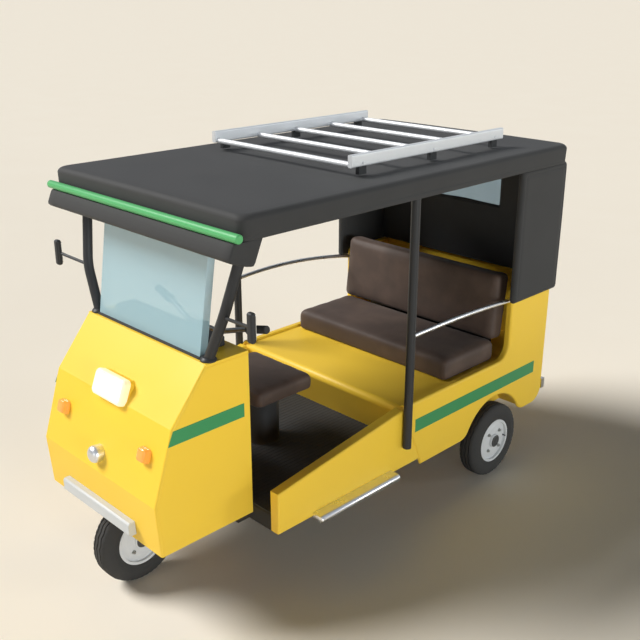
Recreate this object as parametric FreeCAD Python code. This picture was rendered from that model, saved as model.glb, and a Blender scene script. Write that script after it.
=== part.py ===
"""Three-wheeled auto rickshaw: open cab, faceted nose, moulded rear tub and flat hood.

Millimetres. The vehicle faces -Y, its left side is +X, +Z is up and the ground is Z = 0.
Each node is written to parts/NODE.step.
"""
import math
import os

import FreeCAD
import Part
from FreeCAD import Vector

# ---------------------------------------------------------------- driving dimensions
# wheels
TYRE_RADIUS = 205.0
TYRE_WIDTH = 100.0
TYRE_SHOULDER = 30.0
TYRE_BEAD_TUCK = 6.0            # the sidewall draws in by this at the rim
RIM_RADIUS = 121.0
RIM_WALL = 12.0
RIM_INSET = 4.0                 # the rim is this much narrower than the tyre, each side
DISC_INSET = 10.0               # outer face of the disc, in from the tyre's side
DISC_THICKNESS = 10.0
DISC_FLAT_RADIUS = 80.0         # inside this the disc is flat, outside it dishes inward
DISC_DISH = 8.0
HUB_RADIUS = 38.0
HUB_CAP = 4.0                   # how far the hub's cap stands out of the tyre's side
AXLE_RADIUS = 14.0
BORE_CLEARANCE = 0.05           # running fit of every shaft in its bore
BORE_END_CLEARANCE = 1.0
FRONT_AXLE_Y = -1060.0
REAR_AXLE_Y = 840.0

# heights of the body
FLOOR_ABOVE_AXLE = 215.0
FLOOR_TOP = TYRE_RADIUS + FLOOR_ABOVE_AXLE
FLOOR_THICKNESS = 90.0
FLOOR_BOTTOM = FLOOR_TOP - FLOOR_THICKNESS
SILL = FLOOR_TOP - 82.0         # bottom edge of the low side walls
SIDE_WALL_FRONT_TOP = FLOOR_TOP + 115.0
TUB_BOTTOM = FLOOR_TOP - 120.0
DECK_TOP = FLOOR_TOP + 230.0
QUARTER_TOP = DECK_TOP + 390.0
COWL_TOP = FLOOR_TOP + 725.0
CAB_HEIGHT = 1260.0             # from the floor to the hood's underside
HOOD_BOTTOM = FLOOR_TOP + CAB_HEIGHT

# widths of the body
BODY_HALF_WIDTH = 600.0
SIDE_WALL_THICKNESS = 50.0
FLOOR_HALF_WIDTH = BODY_HALF_WIDTH - SIDE_WALL_THICKNESS
REAR_TRACK_HALF = BODY_HALF_WIDTH - 32.0
COWL_HALF_WIDTH = 433.0

# nose and cowl: three flat facets, bent along lines across the vehicle
COWL_WALL = 14.0
COWL_REAR_Y = -732.0
NOSE_WHEEL_ROOM = 30.0          # from the tyre to the inside of the nose's lower edge
NOSE_LOW_FACET = (16.0, 232.0)  # how far each facet leans, and its height
NOSE_MID_FACET = (100.0, 312.0)
NOSE_TOP_FACET = (180.0, 223.0)
NOSE_EDGE_RADIUS = 10.0

# rear tub
TUB_WALL = 15.0
TUB_REAR_Y = 1300.0
TUB_TAIL_RADIUS = 90.0
TUB_EDGE_RADIUS = 12.0
TUB_RIM_DEPTH = 38.0            # the side's upper edge returns inward by this
TUB_RIM_WALL = 12.0
TUB_RIM_RADIUS = 6.0
DECK_FRONT_Y = 66.0
DECK_EDGE_RADIUS = 28.0
DECK_FRONT_LEAN = 24.0          # degrees that the tub's front face leans back
QUARTER_FRONT_Y = 935.0
QUARTER_INNER_RADIUS = 80.0
QUARTER_TOP_RADIUS = 35.0
ARCH_GAP = 57.0                 # from the tyre's tread to the wheel arch
ARCH_RADIUS = TYRE_RADIUS + ARCH_GAP
ARCH_CORNER_RADIUS = 80.0       # where the arch meets the side's lower edge
LINER_WALL = 5.0
TAIL_FRONT_Y = REAR_AXLE_Y + ARCH_RADIUS + 40.0     # where the tail sheet's floor starts
LOUVRE_COUNT = 5
LOUVRE_PITCH = 27.0
LOUVRE_HALF_LENGTH = 150.0
LOUVRE_RADIUS = 9.0
LOUVRE_LOW_Z = DECK_TOP - 160.0

# hood, header and pillars
HOOD_OVERHANG = 56.0            # beyond the body on each side
HOOD_HALF_WIDTH = BODY_HALF_WIDTH + HOOD_OVERHANG
HOOD_SETBACK = 19.0             # behind the nose's top edge
HOOD_REAR_Y = TUB_REAR_Y - 32.0
HOOD_THICKNESS = 103.0
HOOD_TOP = HOOD_BOTTOM + HOOD_THICKNESS
HOOD_CORNER_RADIUS = 45.0
HOOD_EDGE_RADIUS = 30.0
HEADER_HALF_WIDTH = HOOD_HALF_WIDTH - 11.0
ROOF_BAR_RADIUS = 18.0
ROOF_BAR_HALF_LENGTH = HOOD_HALF_WIDTH + 10.0
ROOF_BAR_GAP = 0.5
PILLAR_RADIUS = 22.0
PILLAR_BEND = 320.0
PILLAR_FOOT = (33.0, 38.0)      # in from the cowl's side, behind the nose's top edge
PILLAR_HEAD = (108.0, 80.0)     # in from the hood's side, behind the pillar's foot
B_PILLAR_Y = 80.0
B_PILLAR_BOTTOM = FLOOR_TOP + 37.0
B_PILLAR_RADIUS = 21.0
GLASS_MARGIN = 65.0             # from the cowl's side to the glass
GLASS_HALF_WIDTH = COWL_HALF_WIDTH - GLASS_MARGIN
GLASS_THICKNESS = 36.0
GLASS_SETBACK = 19.0            # its foot, behind the nose's top edge
GLASS_HEAD = (72.0, 70.0)       # its head, behind the hood's front and below its underside

# seats
BENCH_HALF_WIDTH = BODY_HALF_WIDTH - 66.0
BENCH_FRONT_Y = 455.0
BENCH_REAR_Y = 893.0
BENCH_THICKNESS = 113.0
BENCH_EDGE_RADIUS = 20.0
BENCH_TOP = DECK_TOP + BENCH_THICKNESS
BACKREST_HEIGHT = 462.0         # above the deck
BACKREST_OVERLAP = 48.0         # stands over the rear of the cushion
BACKREST_RAKE = 40.0            # its front face leans back by this, foot to top
BACKREST_FOOT_DEPTH = 107.0
BACKREST_TOP_DEPTH = 100.0
BACKREST_EDGE_RADIUS = 30.0
DRIVER_SEAT_HALF_WIDTH = 205.0
DRIVER_SEAT_FRONT_Y = -500.0
DRIVER_SEAT_REAR_Y = -150.0
DRIVER_SEAT_TOP = FLOOR_TOP + 365.0
DRIVER_SEAT_THICKNESS = 72.0
DRIVER_SEAT_EDGE_RADIUS = 16.0
PEDESTAL_RADIUS = 76.0
PEDESTAL_SETBACK = 25.0         # behind the middle of the seat
PEDESTAL_FLANGE = (12.0, 8.0)   # how far the flanges stand out, and their thickness

# curtains
CURTAIN_THICKNESS = 38.0
CURTAIN_EDGE_RADIUS = 12.0
SIDE_CURTAIN_LAP = (47.0, 55.0)     # over the quarter panel's front edge and top edge
SIDE_CURTAIN_FRONT_Y = QUARTER_FRONT_Y - SIDE_CURTAIN_LAP[0]
SIDE_CURTAIN_BOTTOM = QUARTER_TOP - SIDE_CURTAIN_LAP[1]
CURTAIN_GAP = 2.0
WINDOW_HALF_WIDTH = 260.0
WINDOW_DROP = 80.0              # from the hood's underside to the window
WINDOW_HEIGHT = 225.0
WINDOW_THICKNESS = 6.0

# roof rack
RACK_MARGIN = 186.0             # from the hood's side to the rack
RACK_HALF_WIDTH = HOOD_HALF_WIDTH - RACK_MARGIN
RACK_RAIL = (24.0, 55.0)        # width, height
RACK_RAIL_RADIUS = 7.0
RACK_FRONT_Y = -170.0
RACK_REAR_Y = 930.0
RACK_FOOT = (20.0, 46.0, 34.0)  # width, length, height
RACK_FOOT_INSET = 70.0
RACK_BAR_RADIUS = 13.0
RACK_BAR_COUNT = 5
RACK_BAR_INSETS = (20.0, 40.0)  # first and last bar, from the ends of the rails
RACK_BAR_LIFT = -4.0

# steering
RAKE = 25.0                     # degrees from the vertical
STEER_POINT = Vector(0, -640.0, COWL_TOP - 65.0)
COLUMN_RADIUS = 20.0
COLUMN_TOP = COWL_TOP - 17.0
COLUMN_WHEEL_ROOM = 68.0        # from the top of the tyre to the foot of the column
COLUMN_BOTTOM = 2 * TYRE_RADIUS + COLUMN_WHEEL_ROOM
HEAD_TUBE_RADIUS = 33.0
HEAD_TUBE_ENDS = (FLOOR_TOP + 180.0, FLOOR_TOP + 380.0)
FORK_CLEARANCE = 21.0           # from the tyre's side to the crank arm
FORK_RADIUS = 17.0
FORK_BEND = 32.0
FORK_OFFSET = TYRE_WIDTH / 2 + FORK_CLEARANCE + FORK_RADIUS
BAR_RADIUS = 12.0
BAR_BELOW_TOP = 20.0
BAR_STRAIGHT = 110.0            # half length of the bar's straight middle
BAR_BEND = 60.0
GRIP_FOOT = Vector(270.0, 25.0, 48.0)   # ends of the grips from the middle of the bar
GRIP_TIP = Vector(392.0, 32.0, 77.0)
GRIP_RADIUS = 18.0
GRIP_LENGTH = 112.0

# chassis and running gear
RAIL_OFFSET = 300.0
RAIL_WIDTH = 50.0
RAIL_HEIGHT = 60.0
CHASSIS_Y = (COWL_REAR_Y, TAIL_FRONT_Y - 12.0)  # front and rear ends of the rails
CROSS_MEMBER = (40.0, 55.0)     # width along the vehicle, height
ENGINE_HALF_WIDTH = 200.0
ENGINE_LENGTH = 380.0
ENGINE_AHEAD_OF_AXLE = 40.0
ENGINE_BELOW_RAILS = 55.0
ENGINE_HEADROOM = 80.0          # between the engine and the deck's underside
ARM_RADIUS = 22.0
ARM_LENGTH = 370.0
ARM_WHEEL_ROOM = 56.0           # from the tyre's side to the trailing arm
DAMPER_RADIUS = 28.0
DAMPER_AHEAD = (70.0, 60.0)     # its foot and head, ahead of the axle
SHAFT_RADIUS = 12.0

REAR_BUMPER_DEPTH = 36.0
# halfway between the front of the front tyre and the back of the rear bumper
MIDDLE_Y = (FRONT_AXLE_Y - TYRE_RADIUS + TUB_REAR_Y + REAR_BUMPER_DEPTH) / 2

PARTS = "parts"


# ---------------------------------------------------------------- shape helpers
def box(x0, x1, y0, y1, z0, z1):
    """A block between two corners."""
    return Part.makeBox(x1 - x0, y1 - y0, z1 - z0, Vector(x0, y0, z0))


def outline(points):
    """A closed (Y, Z) outline at X = 0; a third number on a point rounds that corner."""
    corners = []
    count = len(points)
    for i, point in enumerate(points):
        here = Vector(0, point[0], point[1])
        radius = point[2] if len(point) > 2 else 0.0
        if radius <= 0:
            corners.append((here, here, None))
            continue
        before = Vector(0, *points[i - 1][:2]) - here
        after = Vector(0, *points[(i + 1) % count][:2]) - here
        half = before.getAngle(after) / 2
        reach = radius / math.tan(half)
        start = here + before.normalize() * reach
        end = here + after.normalize() * reach
        bisector = ((start + end) * 0.5 - here).normalize()
        middle = here + bisector * (radius / math.sin(half) - radius)
        corners.append((start, end, middle))
    edges = []
    for i, (start, end, middle) in enumerate(corners):
        if middle is not None:
            edges.append(Part.Arc(start, middle, end).toShape())
        following = corners[(i + 1) % count][0]
        if end.distanceToPoint(following) > 1e-6:
            edges.append(Part.LineSegment(end, following).toShape())
    return Part.Wire(edges)


def prism(points, x0, x1):
    """A (Y, Z) outline extruded from x0 to x1."""
    face = Part.Face(outline(points))
    face.translate(Vector(x0, 0, 0))
    return face.extrude(Vector(x1 - x0, 0, 0))


def rod(start, end, radius):
    """A round bar between two points."""
    start, end = Vector(start), Vector(end)
    return Part.makeCylinder(radius, start.distanceToPoint(end), start, end - start)


def bent_tube(points, radius, bend):
    """A round bar along straight runs joined by tangent arcs of one bend radius."""
    points = [Vector(p) for p in points]
    edges = []
    last = points[0]
    for i in range(1, len(points) - 1):
        here = points[i]
        before = (points[i - 1] - here).normalize()
        after = (points[i + 1] - here).normalize()
        half = before.getAngle(after) / 2
        reach = bend / math.tan(half)
        start, end = here + before * reach, here + after * reach
        bisector = (before + after).normalize()
        middle = here + bisector * (bend / math.sin(half) - bend)
        edges.append(Part.LineSegment(last, start).toShape())
        edges.append(Part.Arc(start, middle, end).toShape())
        last = end
    edges.append(Part.LineSegment(last, points[-1]).toShape())
    path = Part.Wire(edges)
    ring = Part.Wire(Part.makeCircle(radius, points[0], points[1] - points[0]))
    return path.makePipeShell([ring], True, False)


def arc_tube(start, middle, end, radius):
    """A round bar along one arc through three points."""
    arc = Part.Arc(Vector(start), Vector(middle), Vector(end))
    path = Part.Wire(arc.toShape())
    ring = Part.Wire(Part.makeCircle(radius, Vector(start), arc.tangent(arc.FirstParameter)[0]))
    return path.makePipeShell([ring], True, False)


def turned(profile, centre, outward):
    """A (distance along the axle, radius) profile turned about an axle along X."""
    solid = Part.Face(outline(profile)).revolve(Vector(0, 0, 0), Vector(0, 1, 0), 360)
    solid.rotate(Vector(0, 0, 0), Vector(0, 0, 1), -90 * outward)
    solid.translate(Vector(centre))
    return solid


def rounded(shape, radius, wanted):
    """Fillet the edges whose centre passes the test."""
    edges = [edge for edge in shape.Edges if wanted(edge)]
    return shape.makeFillet(radius, edges) if edges else shape


def soft_block(x0, x1, y0, y1, z0, z1, radius):
    """A block with every edge rounded."""
    block = box(x0, x1, y0, y1, z0, z1)
    return block.makeFillet(radius, block.Edges)


def along_x(edge):
    """True for a straight edge that runs across the vehicle."""
    box_ = edge.BoundBox
    return box_.YLength < 1e-3 and box_.ZLength < 1e-3


def along_y(edge):
    """True for a straight edge that runs fore and aft."""
    box_ = edge.BoundBox
    return box_.XLength < 1e-3 and box_.ZLength < 1e-3


def at_x(edge, x):
    """True for an edge that lies in the plane at x."""
    box_ = edge.BoundBox
    return abs(box_.XMin - x) < 1e-3 and abs(box_.XMax - x) < 1e-3


def mirrored(shape):
    """The same piece on the right-hand side."""
    return shape.mirror(Vector(0, 0, 0), Vector(1, 0, 0))


def save(name, *shapes):
    """Write one node's solids to its STEP file, about the middle of the vehicle."""
    solids = [solid for shape in shapes for solid in shape.Solids]
    shape = (solids[0] if len(solids) == 1 else Part.makeCompound(solids)).copy()
    shape.translate(Vector(0, -MIDDLE_Y, 0))
    assert shape.isValid(), name
    shape.exportStep(os.path.join(PARTS, name + ".step"))
    print(f"{name}: {len(solids)} solid, {shape.Volume / 1e6:.3f} litres")


def interpolate(a, b, z):
    """The Y of the line from a to b at height z."""
    return a[0] + (b[0] - a[0]) * (z - a[1]) / (b[1] - a[1])


def steer_axis_at(z):
    """The point of the steering axis at height z."""
    rise = z - STEER_POINT.z
    return STEER_POINT + Vector(0, rise * math.tan(math.radians(RAKE)), rise)


os.makedirs(PARTS, exist_ok=True)

# ---------------------------------------------------------------- nose and cowl
# A faceted sheet nose wraps forward of two flat side sheets and a flat shelf. Its lower
# edge clears the front tyre, and each facet starts where the one below it ends.
nose_bottom_z = SILL + 40.0
tyre_reach = math.sqrt(TYRE_RADIUS ** 2 - (nose_bottom_z - TYRE_RADIUS) ** 2)
NOSE_BOTTOM = (FRONT_AXLE_Y - tyre_reach - NOSE_WHEEL_ROOM - COWL_WALL, nose_bottom_z)
NOSE_BULGE = (NOSE_BOTTOM[0] - NOSE_LOW_FACET[0], NOSE_BOTTOM[1] + NOSE_LOW_FACET[1])
NOSE_CREASE = (NOSE_BULGE[0] + NOSE_MID_FACET[0], NOSE_BULGE[1] + NOSE_MID_FACET[1])
NOSE_TOP = (NOSE_CREASE[0] + NOSE_TOP_FACET[0], COWL_TOP)
cowl_outer = [NOSE_TOP, NOSE_CREASE, NOSE_BULGE, NOSE_BOTTOM, (COWL_REAR_Y, NOSE_BOTTOM[1]),
              (COWL_REAR_Y, COWL_TOP)]


def inset(points, offsets):
    """Move each edge of an outline inward by its own distance and meet them again."""
    lines = []
    centre = Vector(0, sum(p[0] for p in points) / len(points),
                    sum(p[1] for p in points) / len(points))
    for i, offset in enumerate(offsets):
        a = Vector(0, *points[i][:2])
        b = Vector(0, *points[(i + 1) % len(points)][:2])
        way = (b - a).normalize()
        inward = Vector(0, -way.z, way.y)
        if inward.dot(centre - a) < 0:
            inward = inward * -1
        lines.append((a + inward * offset, way))
    moved = []
    for i, (p, d) in enumerate(lines):
        q, e = lines[i - 1]
        cross = e.y * d.z - e.z * d.y
        step = ((p - q).y * d.z - (p - q).z * d.y) / cross
        meet = q + e * step
        moved.append((meet.y, meet.z))
    return moved


OPEN = -60.0                    # an open side of the cowl: the cavity runs past it
cowl_inner = inset(cowl_outer, [COWL_WALL, COWL_WALL, COWL_WALL, OPEN, OPEN, COWL_WALL])
cowl_block = prism(cowl_outer, -COWL_HALF_WIDTH, COWL_HALF_WIDTH)
cavity = prism(cowl_inner, -COWL_HALF_WIDTH - 1, COWL_HALF_WIDTH + 1)
shell = cowl_block.cut(cavity)
shelf_cut = box(-COWL_HALF_WIDTH - 1, COWL_HALF_WIDTH + 1, NOSE_TOP[0], 0,
                COWL_TOP - COWL_WALL, COWL_TOP + 1)
nose = rounded(shell.cut(shelf_cut), NOSE_EDGE_RADIUS,
               lambda e: abs(e.CenterOfMass.x) > COWL_HALF_WIDTH - 1 and not along_x(e)
               and cowl_block.isInside(e.CenterOfMass, 0.01, True)
               and not cavity.isInside(e.CenterOfMass, 0.01, True)
               and e.Length > 4 * COWL_WALL)
save("nose_panel", nose)
save("dash_shelf", shell.common(shelf_cut))
side_sheet = cowl_block.cut(shell).common(
    box(COWL_HALF_WIDTH - COWL_WALL, COWL_HALF_WIDTH, -2000, 0, 0, COWL_TOP))
save("cowl_sides", side_sheet, mirrored(side_sheet))

DASH_MARGIN = 103.0             # from the cowl's side
DASH_SIZE = (104.0, 45.0)       # depth, height
DASH_REAR_GAP = 36.0            # to the shelf's rear edge
DASH_EDGE_RADIUS = 8.0
dash_rear = COWL_REAR_Y - DASH_REAR_GAP
dash_reach = COWL_HALF_WIDTH - DASH_MARGIN
save("dashboard", soft_block(-dash_reach, dash_reach, dash_rear - DASH_SIZE[0], dash_rear,
                             COWL_TOP, COWL_TOP + DASH_SIZE[1], DASH_EDGE_RADIUS))


# ---------------------------------------------------------------- lamps, horn and bumpers
def on_facet(shape):
    """Trim what would lie inside the nose, so a fitting sits on its surface."""
    return shape.cut(cowl_block)


def tilted(shape, degrees, centre):
    """Lean a fitting back about the X line through its centre."""
    shape.rotate(Vector(centre), Vector(1, 0, 0), degrees)
    return shape


LAMP_SIZE = (220.0, 114.0, 82.0)         # width, height, depth
LAMP_ABOVE_CREASE = 35.0
LAMP_OUTREACH = 35.0                     # face ahead of the lamp's centre
LAMP_TILT = -21.5
LAMP_CORNER_RADIUS = 22.0
LAMP_EDGE_RADIUS = 6.0
lamp_z = NOSE_CREASE[1] + LAMP_ABOVE_CREASE
lamp_y = NOSE_CREASE[0] + 30.0
lamp_face = lamp_y + LAMP_OUTREACH - LAMP_SIZE[2]
lamp = box(-LAMP_SIZE[0] / 2, LAMP_SIZE[0] / 2, lamp_face, lamp_y + LAMP_OUTREACH,
           lamp_z - LAMP_SIZE[1] / 2, lamp_z + LAMP_SIZE[1] / 2)
lamp = rounded(lamp, LAMP_CORNER_RADIUS, lambda e: e.BoundBox.YLength > 10)
lamp = rounded(lamp, LAMP_EDGE_RADIUS,
               lambda e: e.BoundBox.YLength < 1 and e.CenterOfMass.y < lamp_face + 1)
save("headlamp", on_facet(tilted(lamp, LAMP_TILT, (0, lamp_y, lamp_z))))

INDICATOR_MARGIN = 123.0                 # from the cowl's side
INDICATOR_BELOW_CREASE = 135.0
INDICATOR_SIZE = (56.0, 60.0, 60.0)      # width, height, depth
INDICATOR_PROUD = 24.0
INDICATOR_EDGE_RADIUS = 10.0
indicator_x = COWL_HALF_WIDTH - INDICATOR_MARGIN
indicator_z = NOSE_CREASE[1] - INDICATOR_BELOW_CREASE
facet_y = interpolate(NOSE_CREASE, NOSE_BULGE, indicator_z)
facet_lean = -math.degrees(math.atan2(*NOSE_MID_FACET))
indicator = soft_block(indicator_x - INDICATOR_SIZE[0] / 2, indicator_x + INDICATOR_SIZE[0] / 2,
                       facet_y - INDICATOR_PROUD, facet_y - INDICATOR_PROUD + INDICATOR_SIZE[2],
                       indicator_z - INDICATOR_SIZE[1] / 2, indicator_z + INDICATOR_SIZE[1] / 2,
                       INDICATOR_EDGE_RADIUS)
indicator = on_facet(tilted(indicator, facet_lean, (indicator_x, facet_y, indicator_z)))
save("indicators", indicator, mirrored(indicator))

HORN_RADIUS = 37.0
HORN_ABOVE_BULGE = 78.0
HORN_PROUD = 14.0
horn_z = NOSE_BULGE[1] + HORN_ABOVE_BULGE
horn_y = interpolate(NOSE_CREASE, NOSE_BULGE, horn_z)
horn_centre = Vector(0, horn_y - HORN_PROUD, horn_z)
horn = Part.makeSphere(HORN_RADIUS, horn_centre).fuse(
    rod(horn_centre, horn_centre + Vector(0, HORN_RADIUS, -8), HORN_RADIUS - 2))
save("horn_dome", on_facet(horn))

BEVEL = 8.0
BUMPER_MARGIN = 173.0                    # from the cowl's side
BUMPER_LIFT = 34.0                       # above the nose's lower edge
BUMPER_SIZE = (35.0, 62.0)               # depth in front of the nose's edge, height
bumper_z = (NOSE_BOTTOM[1] + BUMPER_LIFT, NOSE_BOTTOM[1] + BUMPER_LIFT + BUMPER_SIZE[1])
bumper_y = interpolate(NOSE_BULGE, NOSE_BOTTOM, sum(bumper_z) / 2) - BUMPER_SIZE[0]
front_bumper = prism(
    [(interpolate(NOSE_BULGE, NOSE_BOTTOM, bumper_z[0]), bumper_z[0]),
     (interpolate(NOSE_BULGE, NOSE_BOTTOM, bumper_z[1]), bumper_z[1]),
     (bumper_y + BEVEL, bumper_z[1]), (bumper_y, bumper_z[1] - BEVEL),
     (bumper_y, bumper_z[0] + BEVEL), (bumper_y + BEVEL, bumper_z[0])],
    BUMPER_MARGIN - COWL_HALF_WIDTH, COWL_HALF_WIDTH - BUMPER_MARGIN)
save("front_bumper", front_bumper)

REAR_BUMPER_Z = (TUB_BOTTOM + 66.0, TUB_BOTTOM + 124.0)
bumper_y1 = TUB_REAR_Y + REAR_BUMPER_DEPTH
rear_bumper = box(-BODY_HALF_WIDTH, BODY_HALF_WIDTH, TUB_REAR_Y, bumper_y1, *REAR_BUMPER_Z)
save("rear_bumper", rounded(rear_bumper, BEVEL, lambda e: e.CenterOfMass.y > bumper_y1 - 1))

TAIL_LAMP_MARGIN = 130.0                 # from the body's side
TAIL_LAMP_SIZE = (76.0, 26.0, 116.0)     # width, depth, height
TAIL_LAMP_DROP = 90.0                    # below the deck
tail_x = BODY_HALF_WIDTH - TAIL_LAMP_MARGIN
tail_z = DECK_TOP - TAIL_LAMP_DROP
tail_lamp = box(tail_x - TAIL_LAMP_SIZE[0] / 2, tail_x + TAIL_LAMP_SIZE[0] / 2, TUB_REAR_Y,
                TUB_REAR_Y + TAIL_LAMP_SIZE[1], tail_z - TAIL_LAMP_SIZE[2] / 2,
                tail_z + TAIL_LAMP_SIZE[2] / 2)
tail_lamp = rounded(tail_lamp, BEVEL, lambda e: e.CenterOfMass.y > TUB_REAR_Y + 1)
save("tail_lamps", tail_lamp, mirrored(tail_lamp))

# ---------------------------------------------------------------- floor and low side walls
lean = math.tan(math.radians(DECK_FRONT_LEAN))


def tub_front_y(z):
    """The Y of the tub's leaning front face at height z."""
    return DECK_FRONT_Y + (DECK_TOP - z) * lean


FLOOR_NOSE_RADIUS = 12.0
SIDE_WALL_EDGE_RADIUS = 9.0
save("floor_plate", prism([(COWL_REAR_Y, FLOOR_BOTTOM, FLOOR_NOSE_RADIUS),
                           (COWL_REAR_Y, FLOOR_TOP, FLOOR_NOSE_RADIUS),
                           (tub_front_y(FLOOR_TOP), FLOOR_TOP),
                           (tub_front_y(FLOOR_BOTTOM), FLOOR_BOTTOM)],
                          -FLOOR_HALF_WIDTH, FLOOR_HALF_WIDTH))
side_wall = prism([(COWL_REAR_Y, SILL), (COWL_REAR_Y, SIDE_WALL_FRONT_TOP),
                   (tub_front_y(DECK_TOP), DECK_TOP), (tub_front_y(SILL), SILL)],
                  FLOOR_HALF_WIDTH, BODY_HALF_WIDTH)
side_wall = rounded(side_wall, SIDE_WALL_EDGE_RADIUS,
                    lambda e: at_x(e, BODY_HALF_WIDTH) and e.CenterOfMass.y < 0)
save("side_walls", side_wall, mirrored(side_wall))

STEP_OUTREACH = 45.0                     # bar's middle, out from the body's side
STEP_DROP = 5.0                          # bar's middle, above the sill
STEP_Y = (-531.0, -8.0)
STEP_RADIUS = 18.0
STEP_TAB = (30.0, 12.0)                  # width, thickness
STEP_TAB_INSET = 90.0
step_x = BODY_HALF_WIDTH + STEP_OUTREACH
step_z = SILL + STEP_DROP
step = rod((step_x, STEP_Y[0], step_z), (step_x, STEP_Y[1], step_z), STEP_RADIUS)
step = rounded(step, 5, lambda e: e.BoundBox.YLength < 1)
for tab_y in (STEP_Y[0] + STEP_TAB_INSET, STEP_Y[1] - STEP_TAB_INSET):
    step = step.fuse(box(BODY_HALF_WIDTH, step_x, tab_y - STEP_TAB[0] / 2,
                         tab_y + STEP_TAB[0] / 2, step_z + 4, step_z + 4 + STEP_TAB[1]))
save("step_bars", step, mirrored(step))

# ---------------------------------------------------------------- rear tub
# Deck and leaning front face are one bent sheet; sides and tail are sheets of their own.
inner_x = BODY_HALF_WIDTH - TUB_WALL
inner_y = TUB_REAR_Y - TUB_WALL
slant = TUB_WALL / math.cos(math.radians(DECK_FRONT_LEAN))
under_deck = DECK_TOP - TUB_WALL
deck = prism([(inner_y, DECK_TOP), (DECK_FRONT_Y, DECK_TOP, DECK_EDGE_RADIUS),
              (tub_front_y(FLOOR_BOTTOM), FLOOR_BOTTOM),
              (tub_front_y(FLOOR_BOTTOM) + slant, FLOOR_BOTTOM),
              (tub_front_y(under_deck) + slant, under_deck, DECK_EDGE_RADIUS - TUB_WALL),
              (inner_y, under_deck)], -inner_x, inner_x)
save("seat_deck", deck)

# The side sheet stands a little above the deck. Its upper edge is folded inward, as a curb
# along the deck and as the rim of the quarter panel. Its wheel arch has a wheel house inside.
curb_top = DECK_TOP + TUB_RIM_WALL
tub_outline = [(tub_front_y(curb_top), curb_top, DECK_EDGE_RADIUS),
               (tub_front_y(TUB_BOTTOM), TUB_BOTTOM),
               (TUB_REAR_Y, TUB_BOTTOM, TUB_TAIL_RADIUS), (TUB_REAR_Y, QUARTER_TOP),
               (QUARTER_FRONT_Y, QUARTER_TOP, QUARTER_TOP_RADIUS),
               (QUARTER_FRONT_Y, curb_top, QUARTER_INNER_RADIUS)]
rim_inner = [(DECK_FRONT_Y, DECK_TOP), (DECK_FRONT_Y, TUB_BOTTOM),
             (TUB_REAR_Y + 1, TUB_BOTTOM), (TUB_REAR_Y + 1, QUARTER_TOP - TUB_RIM_WALL),
             (QUARTER_FRONT_Y + TUB_RIM_WALL, QUARTER_TOP - TUB_RIM_WALL,
              QUARTER_TOP_RADIUS - TUB_RIM_WALL),
             (QUARTER_FRONT_Y + TUB_RIM_WALL, DECK_TOP, QUARTER_INNER_RADIUS + TUB_RIM_WALL)]
rim_x = BODY_HALF_WIDTH - TUB_RIM_DEPTH
rim_fold = prism(tub_outline, rim_x, inner_x).cut(prism(rim_inner, rim_x - 1, inner_x + 1))
rim_fold = rim_fold.common(box(rim_x, inner_x, DECK_FRONT_Y + DECK_EDGE_RADIUS, inner_y,
                               DECK_TOP, QUARTER_TOP))
rim_fold = rounded(rim_fold, TUB_RIM_RADIUS, lambda e: at_x(e, rim_x) and along_y(e)
                   and abs(e.CenterOfMass.z - curb_top) < 1)
arch_axis = Vector(0, REAR_AXLE_Y, TYRE_RADIUS)


def drum(radius, x0, x1):
    """A drum about the rear axle."""
    return rod(arch_axis + Vector(x0, 0, 0), arch_axis + Vector(x1, 0, 0), radius)


# The opening is the drum and the space below the side, with the corners between them eased.
opening = drum(ARCH_RADIUS, inner_x - 1, BODY_HALF_WIDTH + 1).fuse(
    box(inner_x - 1, BODY_HALF_WIDTH + 1, DECK_FRONT_Y, TUB_REAR_Y, 0, TUB_BOTTOM))
opening = rounded(opening.removeSplitter(), ARCH_CORNER_RADIUS, lambda e: along_x(e)
                  and abs(e.CenterOfMass.z - TUB_BOTTOM) < 1
                  and abs(e.CenterOfMass.y - REAR_AXLE_Y) < ARCH_RADIUS)
damper_x = REAR_TRACK_HALF - TYRE_WIDTH / 2 - ARM_WHEEL_ROOM - ARM_RADIUS
liner_x = damper_x + DAMPER_RADIUS + LINER_WALL
liner = drum(ARCH_RADIUS + LINER_WALL, liner_x, inner_x).cut(
    drum(ARCH_RADIUS, liner_x + LINER_WALL, inner_x))
liner = liner.common(box(liner_x, inner_x, DECK_FRONT_Y, TUB_REAR_Y,
                         TUB_BOTTOM + ARCH_CORNER_RADIUS / 2, DECK_TOP))
tub_side = prism(tub_outline, inner_x, BODY_HALF_WIDTH).cut(opening)
tub_side = rounded(tub_side, TUB_EDGE_RADIUS, lambda e: at_x(e, BODY_HALF_WIDTH))
tub_side = tub_side.fuse([rim_fold, liner]).removeSplitter()
save("tub_sides", tub_side, mirrored(tub_side))

tail = prism([(TAIL_FRONT_Y, TUB_BOTTOM), (TUB_REAR_Y, TUB_BOTTOM, TUB_TAIL_RADIUS),
              (TUB_REAR_Y, QUARTER_TOP), (inner_y, QUARTER_TOP),
              (inner_y, TUB_BOTTOM + TUB_WALL, TUB_TAIL_RADIUS - TUB_WALL),
              (TAIL_FRONT_Y, TUB_BOTTOM + TUB_WALL)], -inner_x, inner_x)
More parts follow.
